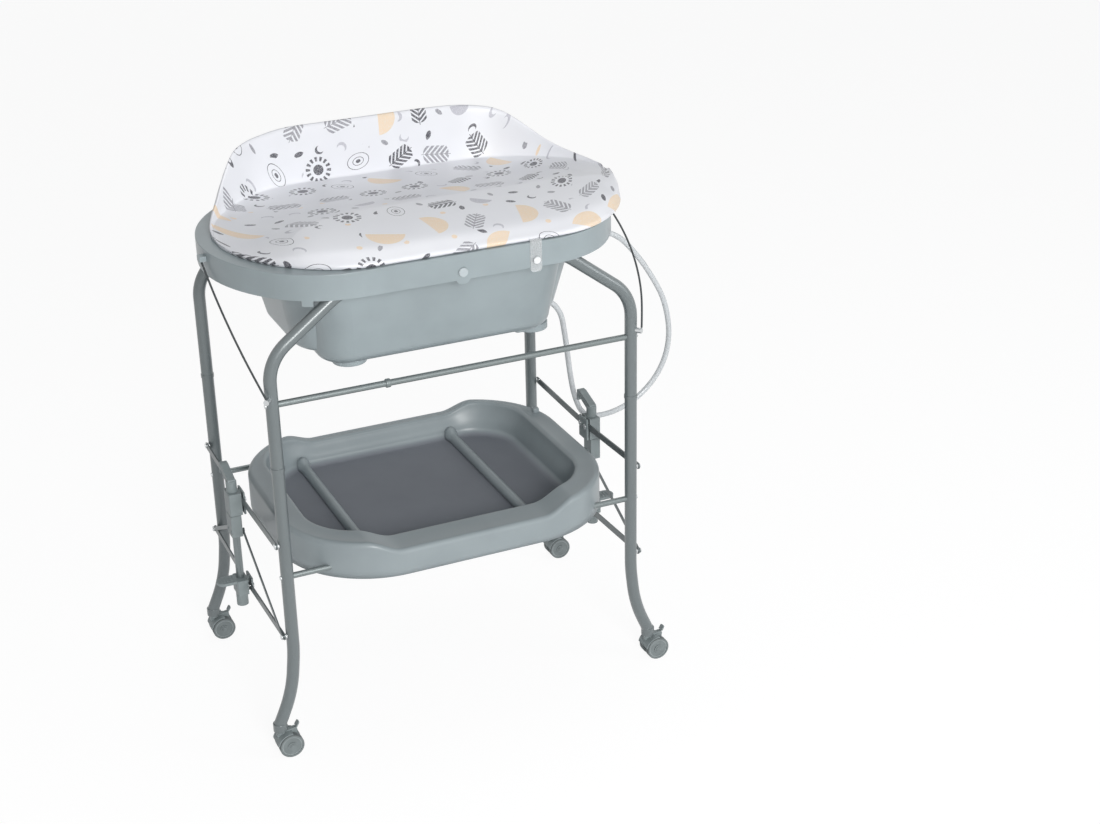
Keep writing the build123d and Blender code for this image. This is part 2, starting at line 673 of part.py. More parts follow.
for hoop, toward, end, side in corners:
    x, y = side * foot_x, toward * hoop_y
    wheel_x = caster_trail
    hull = Pos(wheel_x, wheel_r) * Circle(fork_r) + Pos(brake_x, brake_z) * Circle(brake_ear_r) \
        + Pos(0, (boss_z[0] + boss_z[1] - boss_cap) / 2) \
        * Rectangle(2 * (boss_r - boss_step), boss_z[1] - boss_z[0] - boss_cap)
    fork = extrude(caster_plane(x, y, fork_half) * make_hull(hull.edges()), 2 * fork_half)
    first, last = hood_angles
    hood = Circle(hood_r[1]) - Circle(hood_r[0])
    far = hood_r[1] * 3
    wedge = [(0, 0), (far * cos(radians(first)), far * sin(radians(first))), (-far, far),
             (far * cos(radians(last)), far * sin(radians(last)))]
    hood &= make_face(Polyline(*wedge, close=True))
    housing = fork + extrude(caster_plane(x, y, hood_half) * Pos(wheel_x, wheel_r) * hood, 2 * hood_half)
    housing += round_bar(boss_r, (x, y, boss_z[1] - boss_cap), (x, y, boss_z[1]))
    housing += round_bar(stem_r, (x, y, boss_z[0]), (x, y, stem_top_z))
    wheels_room = Circle(wheel_r + wheel_gap)
    room_y = (fork_half, wheel_outer_y + overrun)
    for near in (-1, 1):
        plane = caster_plane(x, y, room_y[1] if near > 0 else -room_y[0])
        housing -= extrude(plane * Pos(wheel_x, wheel_r) * wheels_room, room_y[1] - room_y[0])
    housing -= round_bar(axle_r + axle_clearance, (x + wheel_x, y - wheel_r, wheel_r),
                         (x + wheel_x, y + wheel_r, wheel_r))
    pocket = Pos(brake_x, brake_z) * Circle(brake_pocket_r)
    housing -= extrude(caster_plane(x, y, brake_pocket_half) * pocket, 2 * brake_pocket_half)
    housing += round_bar(brake_pin_r, (x + brake_x, y - fork_half, brake_z),
                         (x + brake_x, y + fork_half, brake_z))
    save(f"caster_{end}_{hoop}_housing", housing)

    wheels = []
    for near in (-1, 1):
        disc = round_bar(wheel_r, (x + wheel_x, y + near * wheel_inner_y, wheel_r),
                         (x + wheel_x, y + near * wheel_outer_y, wheel_r))
        disc = fillet(disc.edges().filter_by(GeomType.CIRCLE), wheel_edge)
        face_y = y + near * wheel_outer_y
        recess = [(x + wheel_x, face_y - near * wheel_recess, wheel_r),
                  (x + wheel_x, face_y + near * overrun, wheel_r)]
        disc -= round_bar(wheel_recess_r[1], *recess) - round_bar(wheel_recess_r[0], *recess)
        disc -= round_bar(axle_r, (x + wheel_x, y, wheel_r), (x + wheel_x, y + near * wheel_r, wheel_r))
        wheels.append(disc)
    axle_y = wheel_outer_y + axle_cap_height
    axle = round_bar(axle_r, (x + wheel_x, y - wheel_outer_y, wheel_r),
                     (x + wheel_x, y + wheel_outer_y, wheel_r))
    for near in (-1, 1):
        cap = round_bar(axle_cap_r, (x + wheel_x, y + near * wheel_outer_y, wheel_r),
                        (x + wheel_x, y + near * axle_y, wheel_r))
        axle += chamfer(cap.edges().filter_by(GeomType.CIRCLE).sort_by(Axis.Y)[-1 if near > 0 else 0],
                        axle_cap_height / 2)
    save(f"caster_{end}_{hoop}_wheels", *wheels, axle)

    hub = Circle(brake_hub_r) - Circle(brake_pin_r + axle_clearance)
    arm = Pos(brake_tab_start / 2 + brake_pin_r, 0) * Rectangle(brake_tab_start, brake_tab_thickness)
    arm -= Circle(brake_pin_r + axle_clearance)
    lever = extrude(caster_plane(0, 0, brake_hub_half) * (hub + arm), 2 * brake_hub_half)
    tab = block((brake_tab_start, brake_tab_end), (-brake_tab_half, brake_tab_half),
                (-brake_tab_thickness / 2, brake_tab_thickness / 2))
    tab = fillet(tab.edges().filter_by(Axis.Z).group_by(Axis.X)[-1], brake_tab_half / 2)
    save(f"caster_{end}_{hoop}_brake",
         Pos(x + brake_x, y, brake_z) * Rot(0, brake_tilt, 0) * (lever + tab))


# Tub

def oval(half_length, half_depth, flat_half, corner_inset):
    """An outline with straight long sides, round corners and flatter round ends, all tangent."""
    corner_r = half_length - flat_half - corner_inset
    c, d = corner_r + corner_inset, half_depth - corner_r
    end_r = (c * c + d * d - corner_r * corner_r) / (2 * corner_inset)
    end_x = half_length - end_r
    toward = Vector(flat_half - end_x, d).normalized()
    join = Vector(end_x, 0) + toward * end_r
    half_way = (toward + Vector(0, 1)).normalized()
    corner = Vector(flat_half, d) + half_way * corner_r
    quarter_points = [(flat_half, half_depth), (corner.X, corner.Y), (join.X, join.Y)]
    lines = Curve()
    for sx in (-1, 1):
        for sy in (-1, 1):
            lines += ThreePointArc(*[(sx * x, sy * y) for x, y in quarter_points])
        lines += ThreePointArc((sx * join.X, join.Y), (sx * half_length, 0), (sx * join.X, -join.Y))
    for sy in (-1, 1):
        lines += Line((-flat_half, sy * half_depth), (flat_half, sy * half_depth))
    return make_face(lines)


def rim_outline(inset):
    """The tub's outline, drawn in by the given distance."""
    return oval(rim_half_length - inset, rim_half_depth - inset, rim_flat_half, rim_corner_inset)


def well(top_half, bottom_half, corner_r, bottom_z, floor_r, inset, top_z):
    """A bowl that narrows to its floor; the inset draws every side and the floor in by the wall."""
    low, high = bottom_z + inset, top_z
    slope = [(t - b) / (rim_top_z - bottom_z) for t, b in zip(top_half, bottom_half)]

    def section(z):
        half = [t - inset - s * (rim_top_z - z) for t, s in zip(top_half, slope)]
        return Pos(0, 0, z) * RectangleRounded(2 * half[0], 2 * half[1], corner_r - inset)

    bowl = loft([section(low), section(high)], ruled=True)
    return fillet(bowl.faces().sort_by(Axis.Z)[0].edges(), floor_r - inset)


def both_wells(inset, top_z):
    """The deep middle of the tub and its longer, shallower ends."""
    deep = well(well_top_half, well_bottom_half, well_corner_r, well_bottom_z, well_floor_r, inset, top_z)
    long = well(end_top_half, end_bottom_half, end_corner_r, end_bottom_z, end_floor_r, inset, top_z)
    return deep + long


tub = extrude(Pos(0, 0, skirt_z) * rim_outline(0), rim_skirt)
tub = fillet(tub.faces().sort_by(Axis.Z)[-1].edges(), rim_edge_r)
tub -= extrude(Pos(0, 0, skirt_z) * rim_outline(tub_wall), rim_skirt - tub_wall)
outer_wells = both_wells(0, under_flange_z)
tub += outer_wells

for toward in (-1, 1):
    y = toward * hoop_y
    for x in (-saddle_x, saddle_x):
        width = (x - saddle_half[0], x + saddle_half[0])
        saddle = block(width, (y - saddle_half[1], y + saddle_half[1]),
                       (top_bar_z - saddle_lip, under_flange_z))
        bore_r = leg_r + saddle_clearance
        saddle -= round_bar(bore_r, (width[0], y, top_bar_z), (width[1], y, top_bar_z))
        if toward < 0:
            mouth = bore_r + saddle_flare
            saddle -= block(width, (y - mouth, y + mouth), (top_bar_z - bore_r, top_bar_z - bore_r / 2))
        tub += saddle
for x in (-foot_at[0], foot_at[0]):
    for y in (-foot_at[1], foot_at[1]):
        lug = Pos(x, y, foot_bottom_z) * RectangleRounded(2 * foot_r[0], 2 * foot_r[1], foot_r[1] / 2)
        lug = extrude(lug, well_bottom_z + tub_wall - foot_bottom_z)
        tub += chamfer(lug.faces().sort_by(Axis.Z)[0].edges(), tub_wall / 2)
tub -= both_wells(tub_wall, rim_top_z)

for _, side in ends:
    notch = block(along_x(side, *notch_x), (hoop_y - leg_r, rim_half_depth + overrun),
                  (skirt_z - overrun, skirt_z + notch_height))
    tub -= fillet(notch.edges().filter_by(Axis.Y).group_by(Axis.Z)[-1], leg_r)

tub -= round_bar(button_r + button_clearance, (button_x, front_y - overrun, button_z),
                 (button_x, front_y + tub_wall + overrun, button_z))
tongue = round_bar(button_tongue[0], (button_x, front_y, skirt_z + button_tongue[0] / 3),
                   (button_x, front_y + tub_wall, skirt_z + button_tongue[0] / 3))
tub += tongue & block((button_x - rim_skirt, button_x + rim_skirt), (front_y, front_y + tub_wall),
                      (skirt_z - tongue_drop / 2, skirt_z + button_tongue[1]))
tub -= round_bar(drain_hole_r, (drain_x, drain_y, well_bottom_z - overrun),
                 (drain_x, drain_y, well_bottom_z + tub_wall + overrun))
rest_tab_z = (skirt_z - rest_tab_drop, skirt_z)
rest_tab = extrude(Pos(0, 0, rest_tab_z[0]) * (rim_outline(0) - rim_outline(tub_wall)), rest_tab_drop)
tub += rest_tab & block(rest_tab_x, (-rim_half_depth, 0), rest_tab_z)
for _, side in ends:
    lug_y = tether_end[1]
    lug = block(along_x(side, rim_half_length - tub_wall * 2, tether_end[0] + tether_lug_half[0]),
                (lug_y - tether_lug_half[1], lug_y + tether_lug_half[1]),
                (tether_end[2] + tether_end_gap, tether_end[2] + tether_end_gap + tether_lug_height))
    lug = fillet(lug.edges().filter_by(Axis.Z).group_by(Axis.X)[-1 if side > 0 else 0], tub_wall)
    tub += lug - extrude(Pos(0, 0, skirt_z) * rim_outline(tub_wall), rim_skirt - tub_wall)
save("tub", tub)

# Drain, hose hook, knob and button

floor_z = well_bottom_z
outlet_z = floor_z - drain_outlet_drop
outlet_x = drain_x + drain_outlet[1]
spigot = round_bar(drain_flange[0], (drain_x, drain_y, floor_z - drain_flange[1]),
                   (drain_x, drain_y, floor_z))
body = round_bar(drain_body[0], (drain_x, drain_y, floor_z - drain_body[1]), (drain_x, drain_y, floor_z))
spigot += fillet(body.edges().filter_by(GeomType.CIRCLE).sort_by(Axis.Z)[0], drain_body[0] / 3)
spigot += round_bar(drain_outlet[0], (drain_x, drain_y, outlet_z), (outlet_x, drain_y, outlet_z))
spigot += round_bar(hose_stub_r, (drain_x, drain_y, outlet_z),
                    (outlet_x + hose_stub_length, drain_y, outlet_z))
spigot -= round_bar(drain_hole_r, (drain_x, drain_y, outlet_z), (drain_x, drain_y, floor_z + overrun))
spigot -= round_bar(drain_hole_r, (drain_x, drain_y, outlet_z),
                    (outlet_x + hose_stub_length + overrun, drain_y, outlet_z))
save("drain_spigot", spigot)

plug_seat = floor_z + tub_wall
plug = round_bar(plug_disc[0], (drain_x, drain_y, plug_seat), (drain_x, drain_y, plug_seat + plug_disc[1]))
plug = fillet(plug.edges().filter_by(GeomType.CIRCLE).sort_by(Axis.Z)[-1], plug_disc[1] / 3)
plug += round_bar(plug_grip[0], (drain_x, drain_y, plug_seat),
                  (drain_x, drain_y, plug_seat + plug_disc[1] + plug_grip[1]))
save("drain_plug", plug)

end_x, end_y, end_z = hose_end
plate = block((rim_half_length - overrun * 2, end_x + hook_half), (hook_y - hook_half, hook_y + hook_half),
              (hook_z[1] - hook_thickness, hook_z[1]))
plate += block((rim_half_length - overrun * 2, rim_half_length + hook_thickness),
               (hook_y - hook_half, hook_y + hook_half), hook_z)
plate = fillet(plate.edges().filter_by(Axis.Z).group_by(Axis.X)[-1], hook_half / 2)
plate += round_bar(hook_half, (end_x, end_y, end_z), (end_x, end_y, hook_z[1]))
plate += round_bar(hose_stub_r, (end_x, end_y, end_z - hose_stub_length), (end_x, end_y, end_z))
plate -= extrude(Pos(0, 0, skirt_z) * rim_outline(0), rim_skirt)
save("hose_hook", plate)

knob = round_bar(knob_stem_r, (strap_x, front_y, knob_z), (strap_x, front_y - knob_proud, knob_z))
head = round_bar(knob_head_r, (strap_x, front_y - knob_proud + knob_head, knob_z),
                 (strap_x, front_y - knob_proud, knob_z))
knob += fillet(head.edges().filter_by(GeomType.CIRCLE).sort_by(Axis.Y)[0], knob_head / 3)
save("strap_knob", knob)

button = round_bar(button_r, (button_x, front_y + tub_wall, button_z),
                   (button_x, front_y - button_proud, button_z))
button = fillet(button.edges().filter_by(GeomType.CIRCLE).sort_by(Axis.Y)[0], button_proud / 3)
back_y = front_y + tub_wall + button_clearance
button += round_bar(button_r, (button_x, front_y, button_z),
                    (button_x, back_y + button_flange[1], button_z))
button += round_bar(button_flange[0], (button_x, back_y, button_z),
                    (button_x, back_y + button_flange[1], button_z))
save("rim_button", button)

# Hose and tethers

hose_start = (outlet_x, drain_y, outlet_z)
save("drain_hose", cord("hose", [hose_start, *hose_bends, hose_end], hose_share, hose_r, hose_bore_r))


def tether_points(side, bulge):
    """Points from the front leg's screw up to the tub's end, bowed outward by the bulge."""
    a, b = Vector(*tether_start), Vector(*tether_end)
    points = []
    for step in range(tether_runs + 1):
        share = step / tether_runs
        at = a + (b - a) * share
        bow = bulge * 4 * share * (1 - share)
        points.append((side * (at.X + bow), at.Y, at.Z))
    return points


for end, side in ends:
    points = tether_points(side, tether_bulge[end])
    save(f"tether_{end}", cord(f"tether {end}", points, tether_share, tether_r))

# Pad


def pad_limit(shares, height, y):
    """Everything under a bent line in the front view, between two distances in y."""
    points = [(pad_middle_x + pad_half_length * x, pad_z + height * z) for x, z in shares]
    edges = Curve() + FilletPolyline(*points, radius=[pad_outline_bend] * (len(points) - 2))
    edges += Polyline(points[-1], (points[-1][0], pad_z), (points[0][0], pad_z), points[0])
    plane = Plane(origin=(0, y[1], 0), x_dir=(1, 0, 0), z_dir=(0, -1, 0))
    return extrude(plane * make_face(edges), y[1] - y[0])


def pad_prism(edges):
    """A side view drawn in (y, z), carried along the pad's whole length."""
    plane = Plane(origin=(pad_middle_x - pad_half_length, 0, 0), x_dir=(0, 1, 0), z_dir=(1, 0, 0))
    return extrude(plane * make_face(edges), 2 * pad_half_length)


front_top = (-pad_half_depth, pad_z + pad_front_height)
crease = (pad_crease_y, pad_z + pad_crease_height)
shoulder, crest = [(y - pad_half_depth, pad_z + z) for y, z in (pad_shoulder, pad_crest)]
lying = Curve() + Spline(front_top, shoulder, crest, tangents=[(1, 1), (1, 0)])
lying += Spline(crest, crease, tangents=[(1, 0), (1, -pad_crease_height / pad_crease_y)])
lying += Polyline(crease, (pad_half_depth, crease[1]), (pad_half_depth, pad_z),
                  (-pad_half_depth, pad_z), front_top)
flap_top = pad_z + pad_flap_height
standing = Polyline((pad_crease_y, pad_z), crease, (pad_crease_y + pad_flap_lean, flap_top),
                    (pad_half_depth, flap_top), (pad_half_depth, pad_z), close=True)
pad = pad_prism(lying) & pad_limit(pad_body_shares, pad_crest[1], (-pad_half_depth, pad_half_depth))
pad += pad_prism(standing) & pad_limit(pad_flap_shares, pad_flap_height, (0, pad_half_depth))
outline = Pos(pad_middle_x, 0, pad_z) * oval(pad_half_length, pad_half_depth, pad_flat_half, pad_corner_inset)
pad &= extrude(outline, pad_flap_height)
save("changing_pad", pad)

strap_y = front_y - strap_gap
strap_top = pad_z + pad_front_height / 2
strap_width = (strap_x - strap_half, strap_x + strap_half)
strap = block(strap_width, (strap_y - strap_thickness, strap_y), (knob_z - strap_tail, strap_top))
strap = fillet(strap.edges().filter_by(Axis.Y).group_by(Axis.Z)[0], strap_half * 2 / 3)
strap += block(strap_width, (strap_y - strap_thickness, -pad_half_depth),
               (strap_top - strap_thickness, strap_top))
strap -= round_bar(knob_stem_r + strap_gap, (strap_x, front_y + overrun, knob_z),
                   (strap_x, front_y - knob_proud, knob_z))
save("pad_strap", strap)

# Tray

def tray_outline(inset):
    """The tray's outline drawn in by the given distance; deeper to the front of the hoops than behind."""
    depth = tray_front + tray_rear - 2 * inset
    plan = RectangleRounded(2 * (tray_half_length - inset), depth, tray_corner_r - inset)
    return Pos(0, (tray_rear - tray_front) / 2, 0) * plan


def under_wave(drop):
    """Everything below the tray's rim, which is low in the middle and rises to both ends."""
    inner, outer = tray_ramp_x
    low, high = tray_middle_z - drop, tray_end_z - drop
    far = tray_half_length + overrun
    lines = Curve() + Line((-inner, low), (inner, low))
    for _, side in ends:
        lines += Spline((side * inner, low), (side * outer, high), tangents=[(side, 0), (side, 0)])
        lines += Line((side * outer, high), (side * far, high))
        lines += Line((side * far, high), (side * far, tray_skirt_z))
    lines += Line((-far, tray_skirt_z), (far, tray_skirt_z))
    depth = tray_front + overrun
    plane = Plane(origin=(0, depth, 0), x_dir=(1, 0, 0), z_dir=(0, -1, 0))
    return extrude(plane * make_face(lines), 2 * depth)


def tray_basin(inset, low):
    """The tray's hollow, narrowing to its floor; drawn in by the given distance."""
    half = (basin_half_length - inset, (basin_front + basin_rear) / 2 - inset)
    middle_y = (basin_rear - basin_front) / 2
    sections = []
    for z, draft in ((low, basin_draft), (tray_end_z + overrun, 0)):
        plan = RectangleRounded(2 * (half[0] - draft), 2 * (half[1] - draft), basin_corner_r - inset)
        sections.append(Pos(0, middle_y, z) * plan)
    basin = loft(sections, ruled=True)
    return fillet(basin.faces().sort_by(Axis.Z)[0].edges(), basin_floor_r - inset)


full_height = tray_end_z - tray_skirt_z + 2 * overrun
low_plane = Pos(0, 0, tray_skirt_z - overrun)
tray = under_wave(0) & extrude(low_plane * tray_outline(0), full_height)
tray -= under_wave(tray_wall) & extrude(low_plane * tray_outline(tray_wall), full_height)
tray += tray_basin(-tray_wall, basin_floor_z - tray_wall) & under_wave(0)
ribs = []
for x in rib_x:
    foot = Pos(x, 0, basin_floor_z) * Rectangle(2 * rib_half[0], 2 * basin_front)
    crown = Pos(x, 0, basin_floor_z + rib_height) * Rectangle(2 * rib_half[1], 2 * basin_front)
    rib = loft([foot, crown], ruled=True)
    ribs.append(fillet(rib.faces().sort_by(Axis.Z)[-1].edges().filter_by(Axis.Y), rib_half[1] / 3))
hollow = tray_basin(0, basin_floor_z)
for rib in ribs:
    hollow -= rib
tray -= hollow
for _, toward in hoop_sides:
    y = toward * hoop_y
    for x in (-tray_saddle_x, tray_saddle_x):
        width = (x - tray_saddle_half[0], x + tray_saddle_half[0])
        bore_r = lower_bar_r + saddle_clearance / 2
        saddle = block(width, (y - tray_saddle_half[1], y + tray_saddle_half[1]),
                       (lower_bar_z - tray_saddle_lip, tray_middle_z - tray_wall))
        saddle -= round_bar(bore_r, (width[0], y, lower_bar_z), (width[1], y, lower_bar_z))
        if toward > 0:
            saddle -= block(width, (y - bore_r - saddle_flare, y + bore_r + saddle_flare),
                            (lower_bar_z - bore_r, lower_bar_z - bore_r / 3))
        tray += saddle
    gap = lower_bar_r + bar_notch
    for _, side in ends:
        tray -= block(along_x(side, bar_slot_x, tray_half_length), (y - gap, y + gap),
                      (tray_skirt_z - overrun, lower_bar_z))
        tray -= round_bar(gap, (side * bar_slot_x, y, lower_bar_z),
                          (side * tray_half_length, y, lower_bar_z))
tab_y = -tray_tab_y
tab = block((-tray_half_length + tray_wall / 2, -tray_half_length + 2 * tray_tab_half[0]),
            (tab_y - tray_tab_half[1], tab_y + tray_tab_half[1]),
            (tray_end_z - tray_wall / 2, tray_end_z + tray_tab_height))
tray += fillet(tab.edges().filter_by(Axis.Z), tray_tab_half[0] / 3)
clip = block((tray_half_length - 4 * tray_tab_half[0], tray_half_length - 2 * tray_tab_half[0]),
             (tray_tab_y - tray_tab_half[0], tray_tab_y + tray_tab_half[0]),
             (tray_end_z - tray_wall / 2, tray_end_z + tray_tab_height))
tray += fillet(clip.edges().filter_by(Axis.Z), tray_tab_half[0] / 3)
save("tray", tray)
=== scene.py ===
# %% [markdown]
# # A folding changing table with a bathtub
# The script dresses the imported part: first the camera, then the soft cords, the materials, the
# padded top with its print, the tray and the small details, and last the studio. Distances are
# metres in the part's own frame, with X along the tub, Y to the rear, Z up and the floor at zero.

# %% Imports and the frame
import json
import math

import bmesh
import bpy
import numpy as np
from mathutils import Matrix, Vector

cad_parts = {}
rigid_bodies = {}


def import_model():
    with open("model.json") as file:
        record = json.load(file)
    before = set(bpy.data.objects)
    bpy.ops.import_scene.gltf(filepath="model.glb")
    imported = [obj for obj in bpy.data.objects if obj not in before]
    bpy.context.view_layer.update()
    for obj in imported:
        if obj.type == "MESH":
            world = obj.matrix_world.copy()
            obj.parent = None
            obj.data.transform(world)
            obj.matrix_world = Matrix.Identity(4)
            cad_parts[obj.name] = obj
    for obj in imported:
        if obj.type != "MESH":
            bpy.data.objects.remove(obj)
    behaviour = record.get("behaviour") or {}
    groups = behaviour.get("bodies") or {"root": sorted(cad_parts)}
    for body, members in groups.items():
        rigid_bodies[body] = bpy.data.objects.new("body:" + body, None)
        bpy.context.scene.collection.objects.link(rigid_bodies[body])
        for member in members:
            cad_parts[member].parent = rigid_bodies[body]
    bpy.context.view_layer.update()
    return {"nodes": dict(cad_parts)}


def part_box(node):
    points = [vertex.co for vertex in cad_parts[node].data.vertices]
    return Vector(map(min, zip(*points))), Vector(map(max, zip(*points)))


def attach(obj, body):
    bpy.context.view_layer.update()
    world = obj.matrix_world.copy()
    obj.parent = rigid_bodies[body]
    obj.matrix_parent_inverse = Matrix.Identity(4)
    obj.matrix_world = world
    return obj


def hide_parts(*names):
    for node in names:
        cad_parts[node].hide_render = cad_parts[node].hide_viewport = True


for leftover in list(bpy.data.objects):
    bpy.data.objects.remove(leftover)
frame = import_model()
nodes = frame["nodes"]

# %% [markdown]
# ## The camera
# A camera is three unit vectors and a place. The azimuth and the elevation give the backward
# vector, the cross product with the upward axis gives the right-hand vector, and the roll turns
# the right-hand and the upward vector about the backward one. These three are the columns of its
# rotation.

# %% The camera that took the photo
scene = bpy.context.scene
CAMERA_PLACE = (-1.1623, -3.2269, 2.1187)
AZIMUTH, ELEVATION, ROLL = (math.radians(a) for a in (-24.3, 24.41, -1.13))
LENS, SENSOR = 59.57, 36.0


def camera_rotation(azimuth, elevation, roll):
    """Right, up and backward vectors of a camera that looks down its own -Z, as matrix columns."""
    back = Vector((math.sin(azimuth) * math.cos(elevation),
                   -math.cos(azimuth) * math.cos(elevation), math.sin(elevation)))
    right = Vector((0, 0, 1)).cross(back).normalized()
    up = back.cross(right)
    right, up = (right * math.cos(roll) + up * math.sin(roll),
                 up * math.cos(roll) - right * math.sin(roll))
    return Matrix((right, up, back)).transposed().to_4x4()


camera_data = bpy.data.cameras.new("photo_camera")
camera_data.lens, camera_data.sensor_width = LENS, SENSOR
camera = bpy.data.objects.new("photo_camera", camera_data)
scene.collection.objects.link(camera)
camera.matrix_world = Matrix.Translation(CAMERA_PLACE) @ camera_rotation(AZIMUTH, ELEVATION, ROLL)
scene.camera = camera
scene.view_settings.view_transform = "Standard"
print("camera at", tuple(round(v, 3) for v in camera.location))

# %% [markdown]
# ## Soft cords
# A cord follows straight runs that tangent arcs join. A quadratic NURBS curve through the same
# points cuts each corner the same way: it starts at the first point, ends at the last, and is
# tangent to every run between them.

# %% The hose and the two tethers
def cord_curve(name, points, radius):
    """A round cord along a quadratic NURBS curve whose control points are given in metres. The
    cord's radius is stored per point, because Blender adds the points' radius to the curve's box."""
    data = bpy.data.curves.new(name, "CURVE")
    data.dimensions = "3D"
    data.bevel_depth, data.bevel_resolution, data.use_fill_caps = 1.0, 4, True
    data.resolution_u = 12
    spline = data.splines.new("NURBS")
    spline.points.add(len(points) - 1)
    spline.points.foreach_set("co", np.c_[points, np.ones(len(points))].ravel())
    spline.points.foreach_set("radius", np.full(len(points), radius))
    spline.order_u = 3
    spline.use_endpoint_u = True
    cord = bpy.data.objects.new(name, data)
    scene.collection.objects.link(cord)
    return cord


def curve_length(points):
    """Length of the same curve, summed over many short chords of its quadratic pieces."""
    points = np.asarray(points, float)
    joints = (points[1:-2] + points[2:-1]) / 2
    starts, ends = np.vstack([points[:1], joints]), np.vstack([joints, points[-1:]])
    t = np.linspace(0, 1, 60)[:, None]
    total = 0.0
    for a, b, c in zip(starts, points[1:-1], ends):
        arc = (1 - t) ** 2 * a + 2 * t * (1 - t) * b + t * t * c
        total += np.linalg.norm(np.diff(arc, axis=0), axis=1).sum()
    return float(total)


SHIFT_Y = 0.019  # the frame's Y is measured from 19 mm in front of the middle between the hoops
HOSE_ROUTE = np.array([
    (208, 40, 762), (282, 40, 762), (350, 43, 726), (366, 49, 642), (378, 58, 562), (396, 74, 490),
    (422, 82, 434), (486, 82, 426), (558, 80, 452), (614, 76, 512), (634, 72, 592), (617, 68, 680),
    (586, 64, 738), (548, 60, 796), (494, 54, 858), (432, 48, 878), (432, 48, 940),
]) / 1000 + (0, SHIFT_Y, 0)
HOSE_RADIUS = 0.006
hose = cord_curve("hose_visual", HOSE_ROUTE, HOSE_RADIUS)
hose_length = curve_length(HOSE_ROUTE)

TETHER_START, TETHER_END = np.array((0.385, -0.268, 0.778)), np.array((0.421, -0.022, 0.972))
TETHER_BOW = {"left": 0.006, "right": 0.030}
TETHER_RADIUS, TETHER_POINTS = 0.002, 7
tethers, tether_lengths = {}, {}
for end, side in (("left", -1), ("right", 1)):
    share = np.linspace(0, 1, TETHER_POINTS)[:, None]
    route = TETHER_START + (TETHER_END - TETHER_START) * share
    route[:, 0] += TETHER_BOW[end] * 4 * (share * (1 - share))[:, 0]
    route = route * (side, 1, 1) + (0, SHIFT_Y, 0)
    tethers[end] = cord_curve(f"tether_{end}_visual", route, TETHER_RADIUS)
    tether_lengths[end] = curve_length(route)

for cord, node, length, radius in (
        (hose, "drain_hose", hose_length, HOSE_RADIUS),
        (tethers["left"], "tether_left", tether_lengths["left"], TETHER_RADIUS),
        (tethers["right"], "tether_right", tether_lengths["right"], TETHER_RADIUS)):
    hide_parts(node)
    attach(cord, "tub")
    print(cord.name, "is", round(length, 3), "m long")

# %% [markdown]
# ## Shader arithmetic
# A material is a small graph of nodes. The two classes below let the graph be written as plain
# sums: a `Value` wraps one output socket, and every operator on it adds one Math node.

# %% Two helper classes
class Value:
    """One output socket that adds, subtracts, multiplies and compares like a number."""

    def __init__(self, paint, socket):
        self.paint, self.socket = paint, socket

    def __add__(self, other): return self.paint.math("ADD", self, other)
    def __radd__(self, other): return self.paint.math("ADD", other, self)
    def __sub__(self, other): return self.paint.math("SUBTRACT", self, other)
    def __rsub__(self, other): return self.paint.math("SUBTRACT", other, self)
    def __mul__(self, other): return self.paint.math("MULTIPLY", self, other)
    def __rmul__(self, other): return self.paint.math("MULTIPLY", other, self)
    def __abs__(self): return self.paint.math("ABSOLUTE", self)
    def __lt__(self, other): return self.paint.math("LESS_THAN", self, other)
    def __gt__(self, other): return self.paint.math("GREATER_THAN", self, other)


class Paint:
    """A material being mixed: its node tree, its Principled shader and a few ways to add nodes."""

    def __init__(self, name):
        self.material = bpy.data.materials.new(name)
        self.material.use_nodes = True
        self.tree = self.material.node_tree
        self.shader = next(n for n in self.tree.nodes if n.type == "BSDF_PRINCIPLED")

    def put(self, target, value):
        """Links a Value to an input socket, or writes a plain number or colour into it."""
        if isinstance(value, Value):
            self.tree.links.new(value.socket, target)
        else:
            target.default_value = value

    def node(self, kind, inputs=(), output=0, **settings):
        """Adds any node; inputs is a list by position or a dict by name; returns one output."""
        made = self.tree.nodes.new("ShaderNode" + kind)
        for key, value in settings.items():
            setattr(made, key, value)
        pairs = inputs.items() if isinstance(inputs, dict) else enumerate(inputs)
        for key, value in pairs:
            self.put(made.inputs[key], value)
        return Value(self, made.outputs[output])

    def math(self, operation, *values):
        return self.node("Math", values, operation=operation)

    def smooth(self, value, low, high):
        """Rises smoothly from 0 at low to 1 at high."""
        return self.node("MapRange", {"Value": value, "From Min": low, "From Max": high},
                         interpolation_type="SMOOTHSTEP")

    def mix(self, share, a, b):
        """A colour between a and b."""
        made = self.tree.nodes.new("ShaderNodeMix")
        made.data_type = "RGBA"
        for index, value in ((0, share), (6, a), (7, b)):
            self.put(made.inputs[index], value)
        return Value(self, made.outputs[2])

    def drift(self, cloud, a, b):
        """A colour that drifts between a and b as a cloud of noise does."""
        return self.mix(self.smooth(cloud, 0.3, 0.7), a, b)

    def noise(self, scale, detail=2.0, stretch=(1, 1, 1)):
        """Smooth random values between 0 and 1; scale is in bumps per metre."""
        place = self.node("Mapping", {"Vector": self.node("TexCoord", output="Object"),
                                      "Scale": stretch})
        return self.node("TexNoise", {"Vector": place, "Scale": scale, "Detail": detail})

    def split(self, vector):
        """The three parts of a vector."""
        made = self.tree.nodes.new("ShaderNodeSeparateXYZ")
        self.put(made.inputs[0], vector)
        return [Value(self, made.outputs[i]) for i in range(3)]

    def bump(self, height, distance, strength):
        """A surface normal tilted by a height pattern; distance is its real depth in metres."""
        return self.node("Bump", {"Height": height, "Distance": distance, "Strength": strength})

    def look(self, **inputs):
        """Writes inputs of the shader by name, with underscores for spaces."""
        for key, value in inputs.items():
            self.put(self.shader.inputs[key.replace("_", " ")], value)
        return self.material


def rgb(r, g, b):
    return (r, g, b, 1.0)


